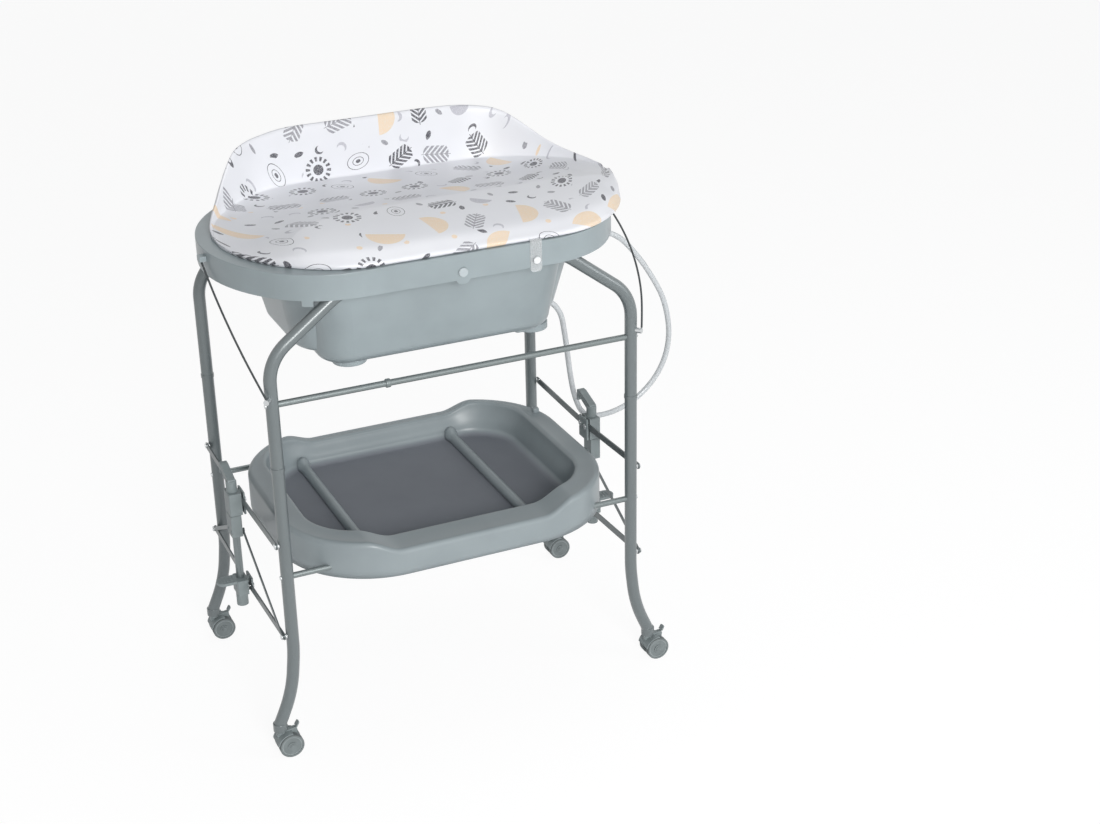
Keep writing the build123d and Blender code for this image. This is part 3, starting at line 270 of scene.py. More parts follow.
# %% [markdown]
# ## Plain materials
# The whole object is one family of cool greys. Moulded plastic has a fine grain and slow changes
# of sheen; the painted tubes are partly metallic; the small steel parts are brighter.

# %% Greys for plastic, paint and steel
def plastic(name, colour, roughness, grain=2600.0, depth=0.00006, change=0.05):
    """Moulded plastic: a fine grain, faint cloudiness in its colour and slow changes of sheen."""
    paint = Paint(name)
    cloud = paint.noise(9.0, 3.0)
    fine = paint.noise(grain, 1.0)
    darker, lighter = [rgb(*(c * (1 + s * change) for c in colour)) for s in (-1, 1)]
    return paint.look(Base_Color=paint.drift(cloud, darker, lighter),
                      Roughness=roughness + 0.10 * (cloud - 0.5) + 0.08 * (fine - 0.5),
                      Normal=paint.bump(fine, depth, 0.5))


def metal(name, colour, roughness, metallic, coat=0.0):
    """Painted or plated metal: fine flakes in the paint and faint handling marks in the sheen."""
    paint = Paint(name)
    flakes = paint.noise(5200.0, 0.0)
    marks = paint.noise(30.0, 4.0, stretch=(1, 1, 0.3))
    shade = paint.mix(paint.smooth(flakes, 0.35, 0.65), rgb(*(c * 0.88 for c in colour)),
                      rgb(*(c * 1.10 for c in colour)))
    return paint.look(Base_Color=shade, Metallic=metallic, Coat_Weight=coat, Coat_Roughness=0.25,
                      Roughness=roughness + 0.10 * (marks - 0.5) + 0.05 * (flakes - 0.5))


def braid(name, colour):
    """A braided cord: fine slanting ribs, one every 2.4 mm, with painted shade darkening the grooves
    between them.
    """
    paint = Paint(name)
    x, y, z = paint.split(paint.node("TexCoord", output="Object"))
    ribs = paint.math("SINE", (x + y + z) * 2600.0)
    # Painted shade: the grooves between the ribs are drawn at half the cord's colour.
    shaded_groove = rgb(*(c * 0.5 for c in colour))
    return paint.look(Base_Color=paint.mix(paint.smooth(ribs, -1.0, 1.0), shaded_groove, rgb(*colour)),
                      Roughness=0.8, Normal=paint.bump(ribs, 0.0002, 0.6))


def clear(name, colour, alpha, roughness):
    """A clear soft plastic with faint clouds in it."""
    paint = Paint(name)
    cloud = paint.noise(40.0, 2.0)
    return paint.look(Base_Color=rgb(*colour), Roughness=roughness + 0.08 * (cloud - 0.5),
                      Alpha=alpha + 0.10 * (cloud - 0.5), Coat_Weight=0.3, Coat_Roughness=0.15)


GREY_SHELL, GREY_TUBE = (0.280, 0.328, 0.345), (0.150, 0.174, 0.180)
looks = {
    "tub": plastic("tub_plastic", GREY_SHELL, 0.32),
    "tray": plastic("tray_plastic", (0.280, 0.325, 0.342), 0.34, grain=1500.0, depth=0.00008),
    "fitting": plastic("fitting_plastic", (0.235, 0.272, 0.278), 0.50),
    "white": plastic("white_plastic", (0.72, 0.74, 0.75), 0.32),
    "button": plastic("button_plastic", (0.42, 0.47, 0.49), 0.30),
    "wheel": plastic("wheel_plastic", (0.25, 0.29, 0.30), 0.42),
    "tube": metal("tube_paint", GREY_TUBE, 0.34, 0.15, 0.5),
    "wire": metal("bar_paint", (0.205, 0.235, 0.238), 0.38, 0.55, 0.2),
    "link": metal("link_paint", (0.130, 0.150, 0.155), 0.36, 0.4),
    "steel": metal("bright_steel", (0.62, 0.64, 0.65), 0.24, 1.0),
    "post": metal("post_paint", (0.20, 0.23, 0.235), 0.32, 0.6, 0.2),
    "cord": braid("tether_cord", (0.085, 0.096, 0.100)),
    "hose": clear("hose_plastic", (0.62, 0.65, 0.67), 0.82, 0.30),
    "strap": clear("strap_plastic", (0.72, 0.74, 0.75), 0.30, 0.18),
    "rubber": plastic("plug_rubber", (0.55, 0.57, 0.58), 0.6),
}
LOOK_OF_WORD = {
    "wheels": "wheel", "brake": "fitting", "housing": "fitting", "fasteners": "steel",
    "pins": "steel", "link": "link", "rod": "link", "lower_bar": "wire", "upper_bar": "wire",
    "arch": "tube", "leg": "tube", "collar": "fitting", "slider": "fitting", "pedal": "fitting",
    "handle": "fitting", "post": "post", "plug": "rubber", "button": "button", "knob": "white",
    "strap": "strap", "hook": "tub", "spigot": "tub", "tray": "tray", "tub": "tub",
}


def look_of(node):
    """Which of the materials a CAD node takes: that of the first word above that its name holds."""
    for word, look in LOOK_OF_WORD.items():
        if word in node:
            return looks[look]
    return looks["white"]


for name, piece in nodes.items():
    piece.data.materials.clear()
    piece.data.materials.append(look_of(name))
hose.data.materials.append(looks["hose"])
for cord in tethers.values():
    cord.data.materials.append(looks["cord"])
print(len(looks), "materials on", len(nodes), "nodes")

# %% [markdown]
# ## The padded top
# The pad is a closed skin made of rings. Each ring is the outline of one slice across the pad, at
# one place along X. A slice runs from its front edge up a soft shoulder to a low ridge, down over
# a flat middle to a crease, up the standing rear wall, over its top and down its back, then home
# underneath.

# %% Shape of the pad
PAD_MIDDLE, PAD_HALF, PAD_DEPTH = 0.027, 0.413, 0.268
PAD_FLAT, PAD_CORNER, PAD_BOTTOM = 0.180, 0.188, 0.9953
# Heights over the pad's bottom, and the ridge's place in Y, each against X, in millimetres
WALL_TOP = np.array([
    (-388, 6), (-362, 18), (-344, 32), (-325, 62), (-303, 97), (-288, 112), (-270, 121),
    (-156, 133), (0, 134), (200, 134), (270, 128), (298, 122), (323, 108), (346, 90), (372, 64),
    (400, 44), (424, 37), (442, 33)]) / 1000
RIDGE_TOP = np.array([
    (-388, 5), (-360, 7), (-330, 14), (-300, 26), (-274, 36), (-235, 44), (-150, 45), (200, 45),
    (330, 44), (400, 41), (442, 34)]) / 1000
MIDDLE_TOP = np.array([
    (-388, 5), (-350, 10), (-300, 15), (-200, 17), (200, 17), (330, 20), (400, 26),
    (442, 31)]) / 1000
RIDGE_PLACE = np.array([
    (-388, -200), (-340, -190), (-300, -165), (-274, -128), (-202, -86), (-100, -60), (250, -52),
    (373, -64), (442, -82)]) / 1000


def pad_half_depth(x):
    """Half the pad's depth at x: straight sides, round corners and flatter ends, as in the part."""
    c, d = PAD_HALF - PAD_FLAT, PAD_DEPTH - PAD_CORNER
    end_r = (c * c + d * d - PAD_CORNER ** 2) / (2 * (c - PAD_CORNER))
    end_x = PAD_HALF - end_r
    join_x = end_x + end_r * (PAD_FLAT - end_x) / math.hypot(PAD_FLAT - end_x, d)
    u = np.abs(x - PAD_MIDDLE)
    corner = d + np.sqrt(np.clip(PAD_CORNER ** 2 - np.clip(u - PAD_FLAT, 0, None) ** 2, 0, None))
    end = np.sqrt(np.clip(end_r ** 2 - (u - end_x) ** 2, 0, None))
    return np.where(u < join_x, corner, end)


TABLE_SPREAD = 0.022


def along(table, x):
    """A value read from a table of (x, value) rows, with its corners rounded by a short average."""
    spread = np.linspace(-TABLE_SPREAD, TABLE_SPREAD, 9)
    return np.mean([np.interp(x + s, table[:, 0], table[:, 1]) for s in spread], axis=0)


def smooth_line(points, count):
    """A curve through a few points, as evenly spaced samples along its length."""
    points = np.asarray(points, float)
    padded = np.vstack([2 * points[0] - points[1], points, 2 * points[-1] - points[-2]])
    t = np.linspace(0, 1, 12, endpoint=False)[:, None]
    pieces = []
    for a, b, c, d in zip(padded, padded[1:], padded[2:], padded[3:]):
        pieces.append(0.5 * (2 * b + (c - a) * t + (2 * a - 5 * b + 4 * c - d) * t ** 2
                             + (3 * b - a - 3 * c + d) * t ** 3))
    fine = np.vstack(pieces + [points[-1:]])
    length = np.r_[0, np.cumsum(np.linalg.norm(np.diff(fine, axis=0), axis=1))]
    at = np.linspace(0, length[-1], count)
    return np.c_[np.interp(at, length, fine[:, 0]), np.interp(at, length, fine[:, 1])]


EDGE_COUNT, LYING_COUNT, MIDDLE_COUNT, WALL_COUNT, BACK_COUNT, UNDER_COUNT = 5, 46, 40, 26, 14, 20
EDGE_HEIGHT, EDGE_TUCK, WALL_THICK, WALL_LEAN, HEM = 0.011, 0.004, 0.020, 0.008, 0.002
# Points between the ends of a curve, as shares of its run and of its rise
SHOULDER_SHAPE = ((0.20, 0.50), (0.55, 0.84), (0.92, 0.995))


def pad_ring(x):
    """One closed slice of the pad in (y, z), and how far along the slice each sample is."""
    depth = float(pad_half_depth(np.array(x)))
    wall, ridge, middle, place = [
        float(along(table, x)) for table in (WALL_TOP, RIDGE_TOP, MIDDLE_TOP, RIDGE_PLACE)]
    tall = max(wall - middle, 0.0)
    back = depth - 0.001
    crease = back - WALL_THICK - WALL_LEAN * min(1.0, tall / 0.06)
    place = max(place, -depth * 0.62)
    crease = max(crease, place + 0.3 * (depth - place))
    edge = min(EDGE_HEIGHT, 0.7 * ridge + 0.003)
    tucked = -depth + EDGE_TUCK
    front = smooth_line([(tucked, 0), (-depth, 0.003), (-depth, edge - 0.003),
                         (tucked, edge)], EDGE_COUNT)
    span, rise = place + depth, ridge - edge
    lying = smooth_line([(tucked, edge),
                         *[(-depth + run * span, edge + up * rise) for run, up in SHOULDER_SHAPE],
                         (place, ridge)], LYING_COUNT)
    flat, fall = crease - place, ridge - middle
    foot = (crease - 0.002, middle + 0.001 + 0.02 * tall)
    centre = smooth_line([(place, ridge), (place + 0.12 * flat, ridge - 0.20 * fall),
                          (place + 0.55 * flat, middle + 0.26 * fall),
                          (crease - 0.012, middle + 0.0015), foot], MIDDLE_COUNT)
    top_y = back - 0.5 * WALL_THICK * min(1.0, tall / 0.03)
    wall_line = smooth_line([foot, (crease + 0.003, middle + 0.30 * tall),
                             (top_y - 0.006, middle + 0.90 * tall), (top_y, wall)], WALL_COUNT)
    rear = smooth_line([(top_y, wall), (back, wall - 0.12 * max(wall, 0.01)), (back, 0.5 * wall),
                        (back - HEM, 0.0)], BACK_COUNT)
    under = np.c_[np.linspace(back - HEM, tucked, UNDER_COUNT), np.zeros(UNDER_COUNT)]
    ring = np.vstack([front[:-1], lying[:-1], centre[:-1], wall_line[:-1], rear[:-1], under[:-1]])
    steps = np.linalg.norm(np.diff(ring, axis=0), axis=1)
    return ring, np.r_[0, np.cumsum(steps)] - 0.5


FAN_HEIGHT, CALM_HEIGHT = 0.0008, 0.0010


def soft_folds(x, y):
    """Shallow folds that fan out at both ends of the pad, and small unevenness in the stuffing."""
    fan = np.sin(95 * (x + 0.5 * y)) * np.exp(-((np.abs(x - 0.03) - 0.33) / 0.06) ** 2)
    calm = np.sin(11 * x + 2 * y + 1.0) * np.sin(9 * y - 3 * x) + 0.6 * np.sin(23 * x - 6 * y)
    return FAN_HEIGHT * fan + CALM_HEIGHT * calm


def mesh_object(name, points, faces, uv=None):
    """A smooth mesh from lists of points and faces, with texture places per point if given."""
    mesh = bpy.data.meshes.new(name)
    mesh.from_pydata([tuple(p) for p in points], [], [tuple(f) for f in faces])
    mesh.update()
    if uv is not None:
        layer = mesh.uv_layers.new(name="UVMap")
        corner = np.zeros(len(mesh.loops), np.int32)
        mesh.loops.foreach_get("vertex_index", corner)
        layer.data.foreach_set("uv", np.asarray(uv, np.float32)[corner].ravel())
    mesh.polygons.foreach_set("use_smooth", [True] * len(mesh.polygons))
    made = bpy.data.objects.new(name, mesh)
    scene.collection.objects.link(made)
    return made


def ring_skin(name, rings, uv):
    """A closed skin over rings of equal count: quads between them and one face at each end."""
    count, size = rings.shape[:2]
    points = rings.reshape(-1, 3)
    i, j = np.meshgrid(np.arange(count - 1), np.arange(size), indexing="ij")
    k = (j + 1) % size
    quads = np.stack([(i + 1) * size + j, (i + 1) * size + k, i * size + k, i * size + j], -1)
    ends = [tuple(range(size)), tuple(count * size - 1 - n for n in range(size))]
    return mesh_object(name, points, [*quads.reshape(-1, 4).tolist(), *ends], uv.reshape(-1, 2))


# The slices crowd together toward both ends, where the outline turns quickly. The folds fade out
# near the bottom, and a number per point marks the printed side, so that the underside stays plain.
SLICES, CROWDING, END_GAP = 150, 0.985, 0.0012
crowded = np.sin(np.linspace(-math.pi / 2, math.pi / 2, SLICES) * CROWDING)
rings, uv = [], []
for x in PAD_MIDDLE + crowded / crowded.max() * (PAD_HALF - END_GAP):
    ring, run = pad_ring(x)
    lift = soft_folds(x, ring[:, 0]) * np.clip((ring[:, 1] - 0.004) / 0.01, 0, 1)
    rings.append(np.c_[np.full(len(ring), x), ring[:, 0] + SHIFT_Y, PAD_BOTTOM + ring[:, 1] + lift])
    uv.append(np.c_[np.full(len(ring), x), run])
rings = np.array(rings)
pad = ring_skin("pad_cover", rings, np.array(uv))
printed_side = np.ones(rings.shape[1])
printed_side[-(UNDER_COUNT - 1):] = 0
marked = pad.data.attributes.new("printed", "FLOAT", "POINT")
marked.data.foreach_set("value", np.tile(printed_side, SLICES))
print("pad skin of", len(pad.data.polygons), "faces, top at", round(float(rings[..., 2].max()), 4))

# %% [markdown]
# ## The printed cover
# The print lies on the pad's own unrolled surface, in cells of a sheared grid. A few random
# numbers per cell turn, place and choose its one motif: a speckled half-moon, a sprig with paired
# leaves, a sun with short rays or a pebble with rings. A second, finer grid holds drops,
# crescents and dots. Wherever a large motif has taken the ground, the second grid prints nothing.

# %% A scattered print
OFFSET_ACROSS, ROW_SHEAR, FULL_TURN, DICE_MIX = 0.37, 0.38, 6.283, (7.31, 3.17)


def scatter(paint, place, pitch, offset, amount):
    """Local coordinates in a jittered, turned cell of the grid, and its three random numbers."""
    u, v, _ = paint.split(place)
    v = (v + OFFSET_ACROSS * offset) * (1 / pitch)
    row = paint.math("FLOOR", v)
    u = (u + offset) * (1 / pitch) + row * ROW_SHEAR
    cell = paint.node("CombineXYZ", [paint.math("FLOOR", u), row, offset])
    dice = paint.split(paint.node("TexWhiteNoise", {"Vector": cell}, output=1,
                                  noise_dimensions="3D"))
    p = (paint.math("FRACT", u) - 0.5 + (dice[0] - 0.5) * amount) * pitch
    q = (paint.math("FRACT", v) - 0.5 + (dice[1] - 0.5) * amount) * pitch
    angle = dice[2] * FULL_TURN
    cosine, sine = paint.math("COSINE", angle), paint.math("SINE", angle)
    return p * cosine - q * sine, p * sine + q * cosine, dice


EDGE, STEM, LINE = 0.0004, 0.0007, 0.0008  # half of a soft edge, of a stem and of a drawn line
SUN_RAYS = 14.0


def disc(paint, p, q, radius):
    """1 inside a circle and 0 outside, with a soft edge."""
    return paint.smooth(radius - paint.math("SQRT", p * p + q * q), -EDGE, EDGE)


def leaf(paint, p, q, size):
    """Where two equal discs overlap: a pointed leaf, long along q."""
    apart = size * 0.75
    return disc(paint, p - apart, q, size * 1.25) * disc(paint, p + apart, q, size * 1.25)


def half_moon(paint, p, q, size):
    """A disc cut by a straight line."""
    return disc(paint, p, q, size) * paint.smooth(q, -EDGE, EDGE)


def sprig(paint, p, q, size):
    """A stem with leaning pairs of leaves that repeat along it, all inside a disc."""
    step = size / 2.6
    side = abs(p)
    along = paint.math("PINGPONG", q - 0.9 * side, step / 2)
    leaves = (paint.smooth(0.30 * step - along, -EDGE, EDGE)
              * paint.smooth(0.62 * size - side, -EDGE, EDGE))
    crown = disc(paint, p, q, size)
    stem = (side < STEM) * (abs(q) < 1.15 * size)
    return paint.math("MAXIMUM", leaves * crown, stem)


def sun(paint, p, q, size):
    """A disc inside a crown of short rays: an angle's sine cuts a ring into them."""
    radius = paint.math("SQRT", p * p + q * q)
    turn = paint.math("ARCTAN2", q, p)
    rays = paint.smooth(paint.math("SINE", turn * SUN_RAYS), -0.1, 0.1)
    crown = (radius > 0.66 * size) * (radius < size)
    return paint.math("MAXIMUM", rays * crown, disc(paint, p, q, 0.40 * size))


def pebble(paint, p, q, size):
    """Thin rings round one dot, squeezed to an oval."""
    radius = paint.math("SQRT", p * p + (1.5 * q) * (1.5 * q))
    drawn = (paint.math("PINGPONG", radius, size / 5) < LINE) * (radius < 1.04 * size)
    return paint.math("MAXIMUM", drawn, radius < 0.18 * size)


def crescent(paint, p, q, size):
    """A disc with a smaller disc taken from its side."""
    return disc(paint, p, q, size) * (1.0 - disc(paint, p - 0.45 * size, q, 0.82 * size))


def drop(paint, p, q, size):
    """A small leaf shape with a rounded foot."""
    foot = disc(paint, p, q + 0.45 * size, 0.45 * size)
    return paint.math("MAXIMUM", leaf(paint, p, q, size), foot)


INKS = {"peach": rgb(0.79, 0.63, 0.46), "pale": rgb(0.47, 0.47, 0.52), "mid": rgb(0.27, 0.27, 0.30),
        "dark": rgb(0.045, 0.045, 0.06)}
# Each grid: its cell in metres, its offset and its jitter, then its motifs, each with its share of
# the cells, its size and its ink
MOTIFS = {
    "large": (0.090, 1.71, 0.14, ((0.25, half_moon, 0.037, "peach"), (0.16, sprig, 0.029, "mid"),
                                  (0.12, sun, 0.027, "dark"), (0.12, pebble, 0.030, "dark"),
                                  (0.13, sprig, 0.027, "dark"), (0.12, half_moon, 0.022, "pale"))),
    "small": (0.048, 2.19, 0.28, ((0.17, drop, 0.0105, "dark"), (0.16, crescent, 0.0105, "pale"),
                                  (0.10, disc, 0.0055, "peach"), (0.14, drop, 0.0090, "mid"),
                                  (0.12, crescent, 0.0090, "dark"))),
}


def printed_cover():
    """Coated fabric: a white ground with peach, pale grey, mid grey and charcoal motifs."""
    paint = Paint("printed_cover")
    place = paint.node("UVMap")
    weave = paint.noise(1500.0, 1.0)
    colour = paint.drift(paint.noise(6.0, 2.0), rgb(0.73, 0.74, 0.78), rgb(0.77, 0.78, 0.815))
    speck = 1.0 - 0.40 * paint.smooth(paint.noise(700.0, 1.0), 0.52, 0.60)
    free = paint.node("Attribute", output=2, attribute_name="printed")
    for pitch, offset, jitter, rows in MOTIFS.values():
        p, q, dice = scatter(paint, place, pitch, offset, jitter)
        pick = paint.math("FRACT", dice[0] * DICE_MIX[0] + dice[1] * DICE_MIX[1])
        low, taken = 0.0, 0.0
        for share, shape, size, ink in rows:
            chosen = (pick > low) * (pick < low + share)
            colour = paint.mix(shape(paint, p, q, size) * chosen * speck * free, colour, INKS[ink])
            taken = chosen * disc(paint, p, q, 1.2 * size) + taken
            low += share
        free = free * (1.0 - taken)
    return paint.look(Base_Color=colour, Roughness=0.42 + 0.10 * (weave - 0.5), Coat_Weight=0.12,
                      Coat_Roughness=0.3, Normal=paint.bump(weave, 0.00012, 0.4))


pad.data.materials.append(printed_cover())
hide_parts("changing_pad")
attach(pad, "pad")

# %% [markdown]
# ## The tray
# The real tray is one thin moulded sheet: a skirt, a round shoulder, a rim that dips in the
# middle, a soft lip, sloping walls, a wide fillet and a flat floor with two ribs. Its section is
# carried round the outline: each ring is one step of that section, and the rings line up because
# all of them are rounded rectangles with the same number of points on each straight and corner.

# %% The tray's outline
TRAY_HALF, TRAY_ROUND, TRAY_MIDDLE_Y = (0.343, 0.290), 0.200, -0.022
BASIN_HALF, BASIN_ROUND = (0.291, 0.238), 0.120
RIM_LOW, RIM_HIGH, RAMP_START, RAMP_END = 0.430, 0.452, 0.150, 0.220
FLOOR_TOP, SKIRT_FOOT, BAR_Z, BAR_Y, NOTCH, NOTCH_FROM = 0.382, 0.376, 0.395, 0.250, 0.009, 0.14
SHELL, SHOULDER, LIP, FILLET, DRAFT, RIM_HOLLOW = 0.003, 0.010, 0.008, 0.018, 0.014, 0.0012


def rounded_oblong(half, corner, middle=(0, 0), arc=110, lines=(56, 36)):
    """A rounded rectangle, anticlockwise: quarter circles of equal angle steps, and straight runs
    between them cut into equal steps."""
    angle = np.linspace(0, math.pi / 2, arc + 1)
    arcs = []
    for k, (side_x, side_y) in enumerate(((1, 1), (-1, 1), (-1, -1), (1, -1))):
        turn = angle + k * math.pi / 2
        arcs.append(np.c_[side_x * (half[0] - corner) + corner * np.cos(turn),
                          side_y * (half[1] - corner) + corner * np.sin(turn)])
    parts = []
    for k, piece in enumerate(arcs):
        share = np.linspace(0, 1, lines[k % 2], endpoint=False)[1:, None]
        parts += [piece, piece[-1] + (arcs[(k + 1) % 4][0] - piece[-1]) * share]
    return np.vstack(parts) + middle


def rim_height(x):
    """Low in the middle and high at both ends; between them it rises as 3t^2 - 2t^3."""
    t = np.clip((np.abs(x) - RAMP_START) / (RAMP_END - RAMP_START), 0, 1)
    return RIM_LOW + (RIM_HIGH - RIM_LOW) * t * t * (3 - 2 * t)


def skirt_foot(place):
    """The skirt's lower edge, with a half-round notch where it lifts off the rear cross bar."""
    off = np.abs(place[:, 1] - BAR_Y)
    notch = BAR_Z + np.sqrt(np.clip(NOTCH ** 2 - off ** 2, 0, None))
    return np.where((off < NOTCH) & (np.abs(place[:, 0]) > NOTCH_FROM), notch, SKIRT_FOOT)


def outer(inset):
    """The tray's outline, drawn in by a distance."""
    half = (TRAY_HALF[0] - inset, TRAY_HALF[1] - inset)
    return rounded_oblong(half, TRAY_ROUND - inset, (0, TRAY_MIDDLE_Y))


def basin(inset):
    """The hollow's outline, drawn in by a distance."""
    return rounded_oblong((BASIN_HALF[0] - inset, BASIN_HALF[1] - inset), BASIN_ROUND - inset)


# %% The tray's section
def tray_rings():
    """From the floor over the fillet, wall, lip, rim and shoulder down the skirt, then back
    underneath at one wall's thickness. Each rounded part is a quarter circle, whose sine and cosine
    give the inset and the height."""
    quarter = np.linspace(0, math.pi / 2, 8)
    top, under = [], []

    def ring(target, place, height):
        target.append(np.c_[place, np.broadcast_to(height, len(place))])

    for more in (0.014, 0.002):
        ring(top, basin(DRAFT + FILLET + more), FLOOR_TOP)
        ring(under, basin(DRAFT + FILLET + more), FLOOR_TOP - SHELL)
    for a in quarter:
        for target, r in ((top, FILLET), (under, FILLET + SHELL)):
            ring(target, basin(DRAFT + FILLET - r * math.sin(a)),
                 FLOOR_TOP + FILLET - r * math.cos(a))
    for share in (0.35, 0.7):
        for target, off in ((top, 0.0), (under, SHELL)):
            place = basin(DRAFT * (1 - share) - off)
            low, high = FLOOR_TOP + FILLET, rim_height(place[:, 0]) - LIP
            ring(target, place, low + (high - low) * share)
    for a in quarter:
        for target, r in ((top, LIP), (under, LIP - SHELL)):
            place = basin(-LIP + r * math.cos(a))
            ring(target, place, rim_height(place[:, 0]) - LIP + r * math.sin(a))
    for share in (0.08, 0.3, 0.5, 0.7, 0.92):
        place = basin(-LIP) + (outer(SHOULDER) - basin(-LIP)) * share
        rim = rim_height(place[:, 0]) - RIM_HOLLOW * math.sin(math.pi * share)
        ring(top, place, rim)
        ring(under, place, rim - SHELL)
    for a in quarter:
        for target, r in ((top, SHOULDER), (under, SHOULDER - SHELL)):
            place = outer(SHOULDER - r * math.sin(a))
            ring(target, place, rim_height(place[:, 0]) - SHOULDER + r * math.cos(a))
    for share in (0.25, 0.5, 0.75, 1.0):
        for target, off in ((top, 0.0), (under, SHELL)):
            place = outer(off)
            high, low = rim_height(place[:, 0]) - SHOULDER, skirt_foot(place)
            ring(target, place, high + (low - high) * share)
    return np.array(top + under[::-1])


RIB_X, RIB_REACH, RIB_STEPS, KNOB_Y, KNOB_SPREAD = (-0.190, 0.155), 0.2275, 70, 0.213, 0.013
RIB_HALF, RIB_HEIGHT, KNOB_MORE_HALF, KNOB_MORE_HEIGHT = 0.0105, 0.019, 0.0045, 0.009


def rib_rings(x):
    """A rib across the floor: half an oval in section, which swells to a knob at the rear wall."""
    y = np.linspace(-RIB_REACH, RIB_REACH, RIB_STEPS)
    knob = np.exp(-((y - KNOB_Y) / KNOB_SPREAD) ** 2)
    angle = np.linspace(0, math.pi, 15)
    half, high = RIB_HALF + KNOB_MORE_HALF * knob, RIB_HEIGHT + KNOB_MORE_HEIGHT * knob
    across = np.r_[np.cos(angle), np.linspace(-1, 1, 7)[1:-1]]
    up = np.r_[np.sin(angle) ** 0.7, np.zeros(5)]
    points = np.empty((RIB_STEPS, len(across), 3))
    points[..., 0] = x + half[:, None] * across
    points[..., 1] = y[:, None]
    points[..., 2] = FLOOR_TOP - 0.001 + (high[:, None] + 0.001) * up
    return points


def block_rings(half, middle, low, high, edge=0.0025, corner=0.0035, arc=5):
    """A small block with rounded corners and edges: its outline draws in at both ends."""
    quarter = np.linspace(0, math.pi / 2, 4)
    rows = [(edge * (1 - math.sin(a)), low + edge * (1 - math.cos(a))) for a in quarter]
    rows += [(edge * (1 - math.cos(a)), high - edge * (1 - math.sin(a))) for a in quarter]
    rings = []
    for inset, z in rows:
        outline = rounded_oblong((half[0] - inset, half[1] - inset), corner - inset, middle, arc,
                                 (4, 4))
        rings.append(np.c_[outline, np.full(len(outline), z)])
    return np.array(rings)


def join_skins(name, parts):
    """Closes each set of rings, joins them as one mesh and turns all faces outwards."""
    made = [ring_skin(f"{name}_{n}", rings, np.zeros(rings.shape[:2] + (2,)))
            for n, rings in enumerate(parts)]
    mesh = bpy.data.meshes.new(name)
    whole = bmesh.new()
    for piece in made:
        whole.from_mesh(piece.data)
        bpy.data.objects.remove(piece)
    bmesh.ops.recalc_face_normals(whole, faces=whole.faces)
    whole.to_mesh(mesh)
    whole.free()
    joined = bpy.data.objects.new(name, mesh)
    scene.collection.objects.link(joined)
    return joined


# Blocks: half the size in X and Y, the middle, and the heights of the foot and the top
TAB = ((0.0065, 0.022), (-0.3350, -0.120), 0.446, 0.461)
CLIP = ((0.007, 0.007), (0.322, 0.120), 0.446, 0.461)
SADDLES = [((0.012, 0.010), (x, y), 0.391, 0.427) for x in (-0.120, 0.120) for y in (-BAR_Y, BAR_Y)]
tray_parts = [tray_rings(), *[rib_rings(x) for x in RIB_X],
              *[block_rings(*block) for block in (TAB, CLIP, *SADDLES)]]
tray = join_skins("tray_skin", [rings + (0, SHIFT_Y, 0) for rings in tray_parts])
print("tray of", len(tray.data.polygons), "faces")


# %% The tray's plastic
def tray_plastic():
    """Moulded plastic with a fine grain; its floor is coarser and more matt, and its colour is
    painted darker as shade.
    """
    paint = Paint("tray_skin_plastic")
    x, y, height = paint.split(paint.node("TexCoord", output="Object"))
    inside = (abs(x) < BASIN_HALF[0]) * (abs(y - SHIFT_Y) < BASIN_HALF[1])
    # The floor mask makes the floor coarser and more matt, and it also carries the painted shade on
    # the floor.
    floor = inside * (1.0 - paint.smooth(height, FLOOR_TOP - 0.001, FLOOR_TOP + 0.010))
    cloud, fine, coarse = paint.noise(9.0, 3.0), paint.noise(1500.0, 1.0), paint.noise(700.0, 1.0)
    wall = paint.drift(cloud, rgb(0.250, 0.289, 0.305), rgb(0.275, 0.317, 0.333))
    # Painted shade: the floor is drawn in a darker grey than the walls, as the basin's floor lies in
    # shade.
    shaded_floor_colour = paint.drift(cloud, rgb(0.166, 0.178, 0.204), rgb(0.182, 0.196, 0.222))
    grain = fine + floor * (coarse - fine)
    return paint.look(Base_Color=paint.mix(floor, wall, shaded_floor_colour),
                      Normal=paint.bump(grain, 0.00008, 0.5),
                      Roughness=0.36 + 0.26 * floor + 0.10 * (cloud - 0.5))


tray.data.materials.append(tray_plastic())
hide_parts("tray")
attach(tray, "tray")

# %% [markdown]
# ## Feet under the tub
# The tub stands on round feet when it is off its frame. Each is a short drum with a rounded edge:
# the same rounded rectangles as above, with corners so large that they are circles.

# %% Four round feet
TUB_FLOOR, FOOT_HEIGHT, FOOT_SUNK, FOOT_EDGE = 0.774, 0.013, 0.002, 0.002
FOOT_RADIUS, FOOT_ARC = 0.034, 16
FOOT_FLAT = 0.0002  # keeps the straight runs between the corners from closing to nothing
FOOT_PLACES = [(x, y + SHIFT_Y) for x in (-0.176, 0.208) for y in (-0.124, 0.124)]
feet = join_skins("tub_feet", [
    block_rings((FOOT_RADIUS, FOOT_RADIUS), place, TUB_FLOOR - FOOT_HEIGHT, TUB_FLOOR + FOOT_SUNK,
                FOOT_EDGE, FOOT_RADIUS - FOOT_FLAT, FOOT_ARC) for place in FOOT_PLACES])
feet.data.materials.append(looks["tub"])
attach(feet, "tub")
print(len(FOOT_PLACES), "feet under the tub")

# %% [markdown]
# ## Caster wheels
# A wheel's face has a thin pale line near its edge and its tread is darker. Both lie at one
# distance from the axle, so one number per point, the distance, paints them. A small steel dome
# closes the axle.

# %% Wheel plastic and axle ends
LINE_RADIUS, LINE_WIDTH, TREAD_RADIUS, TREAD_BLEND = 0.0195, 0.0007, 0.0232, 0.0006
AXLE_RADIUS, AXLE_PROUD, AXLE_SUNK, DOME_SHARE, DOME_COUNT = 0.0042, 0.0006, 0.0007, 0.42, 24


